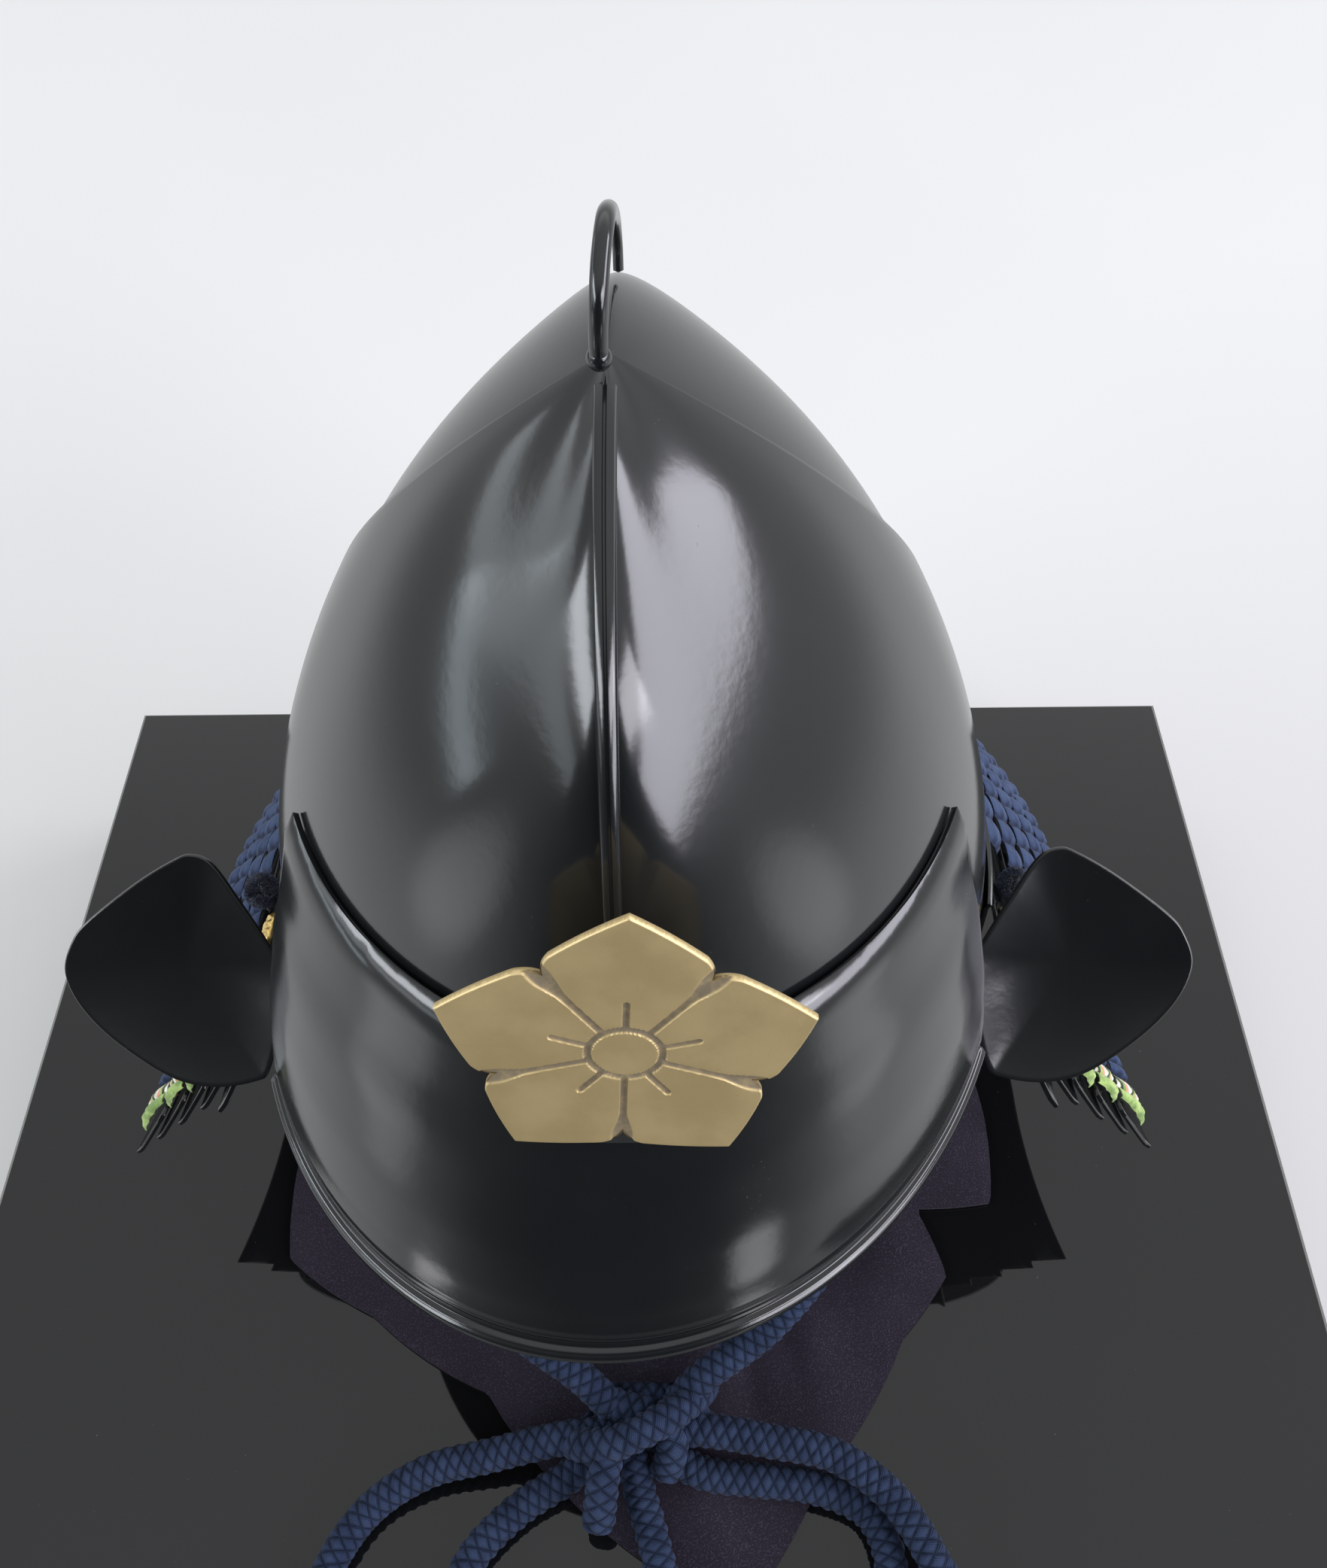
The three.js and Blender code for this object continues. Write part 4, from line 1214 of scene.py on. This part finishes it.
def knob(name, side):
    x = first_plate_x(KNOB["y"], KNOB["height"]) + KNOB["radius"] + KNOB["seat"]
    centre = Vector((side * x, KNOB["y"], KNOB["height"]))

    def ball_place(u, v):
        lift, turn = math.pi * (v - 0.5), 2 * math.pi * u
        way = Vector((math.cos(lift) * math.cos(turn), math.cos(lift) * math.sin(turn), math.sin(lift)))
        lump = 1 + 0.09 * noise.noise(way * 2.3) + 0.05 * noise.noise(way * 7)
        return at(*(centre + way * (KNOB["radius"] - 0.5) * lump))

    ball = laid_grid(name, 64, 40, ball_place, joined=True)

    def tuft_place(u, v):
        i = min(int(u * KNOB["tufts"]), KNOB["tufts"] - 1)
        rise = 1 - 2 * (i + 0.5) / KNOB["tufts"]
        turn = i * math.pi * (3 - math.sqrt(5))
        level = math.sqrt(1 - rise * rise)
        way = Vector((level * math.cos(turn), level * math.sin(turn), rise))
        lean = Vector([noise.noise(way * 5 + shift) for shift in LEAN_SHIFTS]) * 0.9
        across = way.orthogonal().normalized()
        corner = (round(u * KNOB["tufts"] * 2) % 2 - 0.5) * 0.5
        foot = centre + way * (KNOB["radius"] - 0.7)
        return at(*(foot + across * corner * (1 - v) + (way + lean).normalized() * KNOB["tuft"] * v))

    tufts = laid_grid(name + "_tufts", KNOB["tufts"] * 2 - 1, 2, tuft_place)
    edit(tufts, lambda: bpy.ops.mesh.remove_doubles(threshold=1e-7))
    return joined_up(name, [ball, tufts])


floss = Finish("navy floss", Roughness=0.95, Sheen_Weight=0.5, Sheen_Roughness=0.6)
floss_tone = floss.noise(700, 4)
floss.set("Base Color", floss.blend(floss_tone.step(0.3, 0.7), (0.010, 0.018, 0.055), (0.030, 0.052, 0.130)))
floss.bump(floss.noise(2600, 3), 0.8, 0.0005)
for side_name, side in SIDES.items():
    piece = knob(f"floss_knob_{side_name}", side)
    floss.on(piece)
    settle(piece, "navy_braid", [f"blue_knob_{side_name}"])

# %% [markdown]
# ## The stand and its cloth
#
# A plain post with a domed cap carries the helmet. A purple crepe cloth covers it, falls in deep
# folds inside the helmet and spreads out flat on the box, where its cut edge shows in straight stretches.

# %% The cloth
CLOTH = {"inset": 5.2, "thickness": 0.0009, "folds": 16, "fold_depth": 13, "wander": 2.2, "ripple": 5.5,
         "columns": 384, "rows": 72}
CAP_LEVELS = (0.89, 0.93, 0.97, 1)
HEM = [(-180, 112), (-135, 150), (-98, 112), (-72, 128), (-56, 145), (-42, 134), (-22, 133), (-10, 152),
       (9, 186), (20, 158), (38, 136), (49, 133), (55, 113), (62, 134), (76, 124), (98, 108), (135, 150),
       (180, 112)]
FALL = [(2.6, 96), (18, 80), (55, 64), (110, 52), (180, 44), (250, 46)]


def hem_reach(angle):
    i = min(bisect.bisect_right([row[0] for row in HEM], angle), len(HEM) - 1)
    (a, near), (b, far) = HEM[i - 1], HEM[i]
    return mix(near, far, (angle - a) / (b - a))


def cloth_place(u, v):
    angle = -180 + 360 * u
    turn = math.radians(angle)
    out = Vector((math.sin(turn), -math.cos(turn)))
    reach = hem_reach(angle)
    route = [(reach, 1.9), (mix(96, reach, 0.5), 2.3)] + [(far, height) for height, far in FALL]
    for level in CAP_LEVELS:
        point = bowl_point(turn, level, CLOTH["inset"])
        route.append((math.hypot(point.x, point.y), point.z))
    far, height = spline(route, v)
    wander = noise.noise(Vector((out.x * 2.1, out.y * 2.1, height / 70)))
    fold = math.sin(CLOTH["folds"] * turn + CLOTH["wander"] * wander)
    deep = smooth((height - 3) / 70) * smooth((262 - height) / 60)
    near_floor = smooth((reach - far) / 60) * smooth((60 - height) / 50)
    far += CLOTH["fold_depth"] * deep * fold * (0.75 + 0.5 * wander)
    soft = noise.noise(Vector((out.x * far / 26, out.y * far / 26, 4))) + 0.35 * fold
    height += max(CLOTH["ripple"] * near_floor * (soft + 0.25), -0.4 if height < 4 else -9)
    edge = smooth((reach - far) / 5)
    height += 0.5 * (1 - edge) * noise.noise(Vector((out.x * far / 9, out.y * far / 9, 1)))
    return at(out.x * far, out.y * far, height)


cloth = laid_grid("purple_cloth", CLOTH["columns"], CLOTH["rows"], cloth_place, joined=True)
cloth_area = sum(face.area for face in cloth.data.polygons)
skin(cloth, at(0, 0, 100), CLOTH["thickness"])
print("cloth", round(cloth_area, 3), "square metres")

# %% [markdown]
# Crepe has a fine pebbled grain. Each grain is painted a little lighter, a painted glint, and is a little glossier, so
# the dark purple shimmers.

# %% Purple crepe
crepe = Finish("purple crepe", Roughness=0.62, Specular_IOR_Level=0.2, Sheen_Weight=0.06)
pebble = crepe.noise(1900, 3)
fine_pebble = crepe.noise(3600, 2)
crepe_tone = crepe.noise(30, 3)
crepe_base = crepe.blend(crepe_tone.step(0.3, 0.7), (0.009, 0.006, 0.014), (0.014, 0.010, 0.021))
# Painted glint: the pebbles are painted lighter than the purple around them.
crepe.set("Base Color", crepe.blend(pebble.step(0.50, 0.68) * 0.6, crepe_base, (0.042, 0.033, 0.056)))
crepe.set("Roughness", 0.72 - pebble.step(0.5, 0.7) * 0.25)
crepe.bump(pebble * 0.7 + fine_pebble * 0.4, 0.8, 0.0004)
crepe.on(cloth)
settle(cloth, "purple_cloth", ["stand_cloth"])
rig.sheet(cloth, flat=(0.58, 0.58), area=0.28, held="draped", rests_on=["stand_cap", "display_box"])

# %% Stand of plain wood
wood = Finish("stand wood", Roughness=0.6)
wood_x, wood_y, _ = wood.axes(wood.place)
rings = ((wood_x * wood_x + wood_y * wood_y).power(0.5) * 900 + wood.noise(14, 3) * 9).sin() * 0.5 + 0.5
wood_tone = rings * 0.7 + wood.noise(200, 3) * 0.3
wood.set("Base Color", wood.blend(wood_tone, (0.20, 0.12, 0.06), (0.40, 0.26, 0.14)))
wood.bump(rings * 0.4 + wood.noise(700, 2) * 0.6, 0.3, 0.0004)
for name in ("stand_base", "stand_post", "stand_cap"):
    wood.on(NODES[name])

# %% [markdown]
# ## The display box
#
# The box is finished in polished black lacquer, deep and mirror-like, with only dust and faint smears
# on it.

# %% The mirror-black box
gloss = Finish("mirror black", IOR=1.5)
specks = gloss.noise(900, 2).step(0.745, 0.79) * gloss.noise(25, 3).step(0.4, 0.8)
smears = gloss.noise(9, 5)
gloss_black = gloss.blend(smears, (0.0035, 0.0037, 0.0040), (0.0060, 0.0062, 0.0066))
gloss.set("Base Color", gloss.blend(specks * 0.6, gloss_black, (0.25, 0.25, 0.25)))
gloss.set("Roughness", 0.022 + smears.step(0.45, 0.8) * 0.02 + specks * 0.3)
gloss.bump(gloss.noise(16, 2), 0.02, 0.0003)
gloss.on(NODES["display_box"])

# %% [markdown]
# ## The room
#
# The helmet stands in a white room. The walls are darker in front, where the camera is, and a little
# darker at the left. Broad lamps at the sides make the long highlights beside the keel: a wide pale
# lavender one at the right and a narrower cool one at the left.

# %% The floor and the walls
world = bpy.data.worlds.new("room")
world.use_nodes = True
room = world.node_tree
way = room.nodes.new("ShaderNodeTexCoord")
split = room.nodes.new("ShaderNodeSeparateXYZ")
room.links.new(way.outputs["Generated"], split.inputs[0])
to_right, to_back, to_sky = [Sum(room, socket) for socket in split.outputs]


# Each row is an azimuth, an elevation and a width in degrees, then a strength; azimuth 0 is in front.
GLOWS = [(-64, -11, 13, 1.0), (64, -13, 13, 1.0), (-48, -32, 6, 2.4), (34, -26, 7, 2.4)]


def glow(azimuth, elevation, wide, strength):
    """A soft round patch of light on the wall, so many degrees wide."""
    turn, lift = math.radians(azimuth), math.radians(elevation)
    x, y, z = math.sin(turn) * math.cos(lift), -math.cos(turn) * math.cos(lift), math.sin(lift)
    near = to_right * x + to_back * y + to_sky * z
    return near.step(math.cos(math.radians(wide)), math.cos(math.radians(wide * 0.3))) * strength


in_front = (to_back * -1).step(0.35, 0.95) * (1 - to_sky.step(0.55, 0.9))
back_wall = to_back.step(0.35, 0.8) * to_sky.step(0.3, 0.6) * (1 - to_sky.step(0.6, 0.95) * 0.6)
low_sides = (to_sky * -1).step(0.0, 0.3) * to_right.abs().step(0.5, 0.95)
walls = 0.68 + to_right * 0.13 + to_sky.step(0.3, 0.95) * 0.30 + back_wall * 0.75 + low_sides * 0.55
walls = walls * (1 - in_front * 0.93)
for patch in GLOWS:
    walls = walls + glow(*patch)
plug(room, room.nodes["Background"].inputs["Strength"], walls)
room.nodes["Background"].inputs["Color"].default_value = (0.98, 0.99, 1, 1)
scene.world = world

deselect()
bpy.ops.mesh.primitive_plane_add(size=12, location=(0, 2, 0))
floor = bpy.context.object
floor.name = "pale_floor"
floor.visible_glossy = False
floor.visible_shadow = False
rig.stage(floor)
pale = Finish("pale floor", Roughness=0.75)
pale.set("Base Color", pale.blend(pale.noise(2, 3), (0.57, 0.57, 0.565), (0.61, 0.607, 0.60)))
pale.bump(pale.noise(60, 3), 0.05, 0.0005)
pale.on(floor)

# %% The lamps
HELMET_MIDDLE = at(0, 0, 200)
LAMP_DISTANCE = 6.0
LAMPS = [
    # name, azimuth, elevation, wide, tall, roll (degrees), radiance, colour; azimuth 0 is in front
    ("right_wide", 76, 22, 78, 17, 14, 8.5, (0.90, 0.895, 1.0)),
    ("right_core", 45, 27, 24, 12, 0, 10.0, (0.93, 0.92, 1.0)),
    ("left_core", -64, 27, 44, 11, 0, 10.0, (0.90, 0.95, 1.0)),
    ("left_wide", -88, 15.5, 84, 7, 0, 2.0, (0.88, 0.95, 1.0)),
    ("left_streak", -90, 7.5, 34, 3.5, -20, 4.0, (0.80, 0.92, 1.0)),
]

for name, azimuth, elevation, wide, tall, roll, radiance, colour in LAMPS:
    turn, lift = math.radians(azimuth), math.radians(elevation)
    way = Vector((math.sin(turn) * math.cos(lift), -math.cos(turn) * math.cos(lift), math.sin(lift)))
    data = bpy.data.lights.new(name, "AREA")
    data.shape = "RECTANGLE"
    data.size, data.size_y = [2 * LAMP_DISTANCE * math.tan(math.radians(size) / 2) for size in (wide, tall)]
    data.energy = radiance * math.pi * data.size * data.size_y
    data.color = colour
    light = bpy.data.objects.new(name, data)
    scene.collection.objects.link(light)
    light.matrix_world = (Matrix.Translation(HELMET_MIDDLE + way * LAMP_DISTANCE)
                          @ way.to_track_quat("Z", "Y").to_matrix().to_4x4()
                          @ Matrix.Rotation(math.radians(roll), 4, "Z"))
    light.visible_camera = False

# %% [markdown]
# ## Sizes
#
# The last cell notes the size of the CAD model and of the finished helmet.

# %% Sizes and finish
FINAL_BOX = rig.bounds()
with open("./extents.json", "w") as out:
    json.dump({"cad_box": [list(corner) for corner in CAD_BOX], "final_box": [list(corner) for corner in FINAL_BOX]},
              out)
print("final box", [round(c, 3) for corner in FINAL_BOX for c in corner])
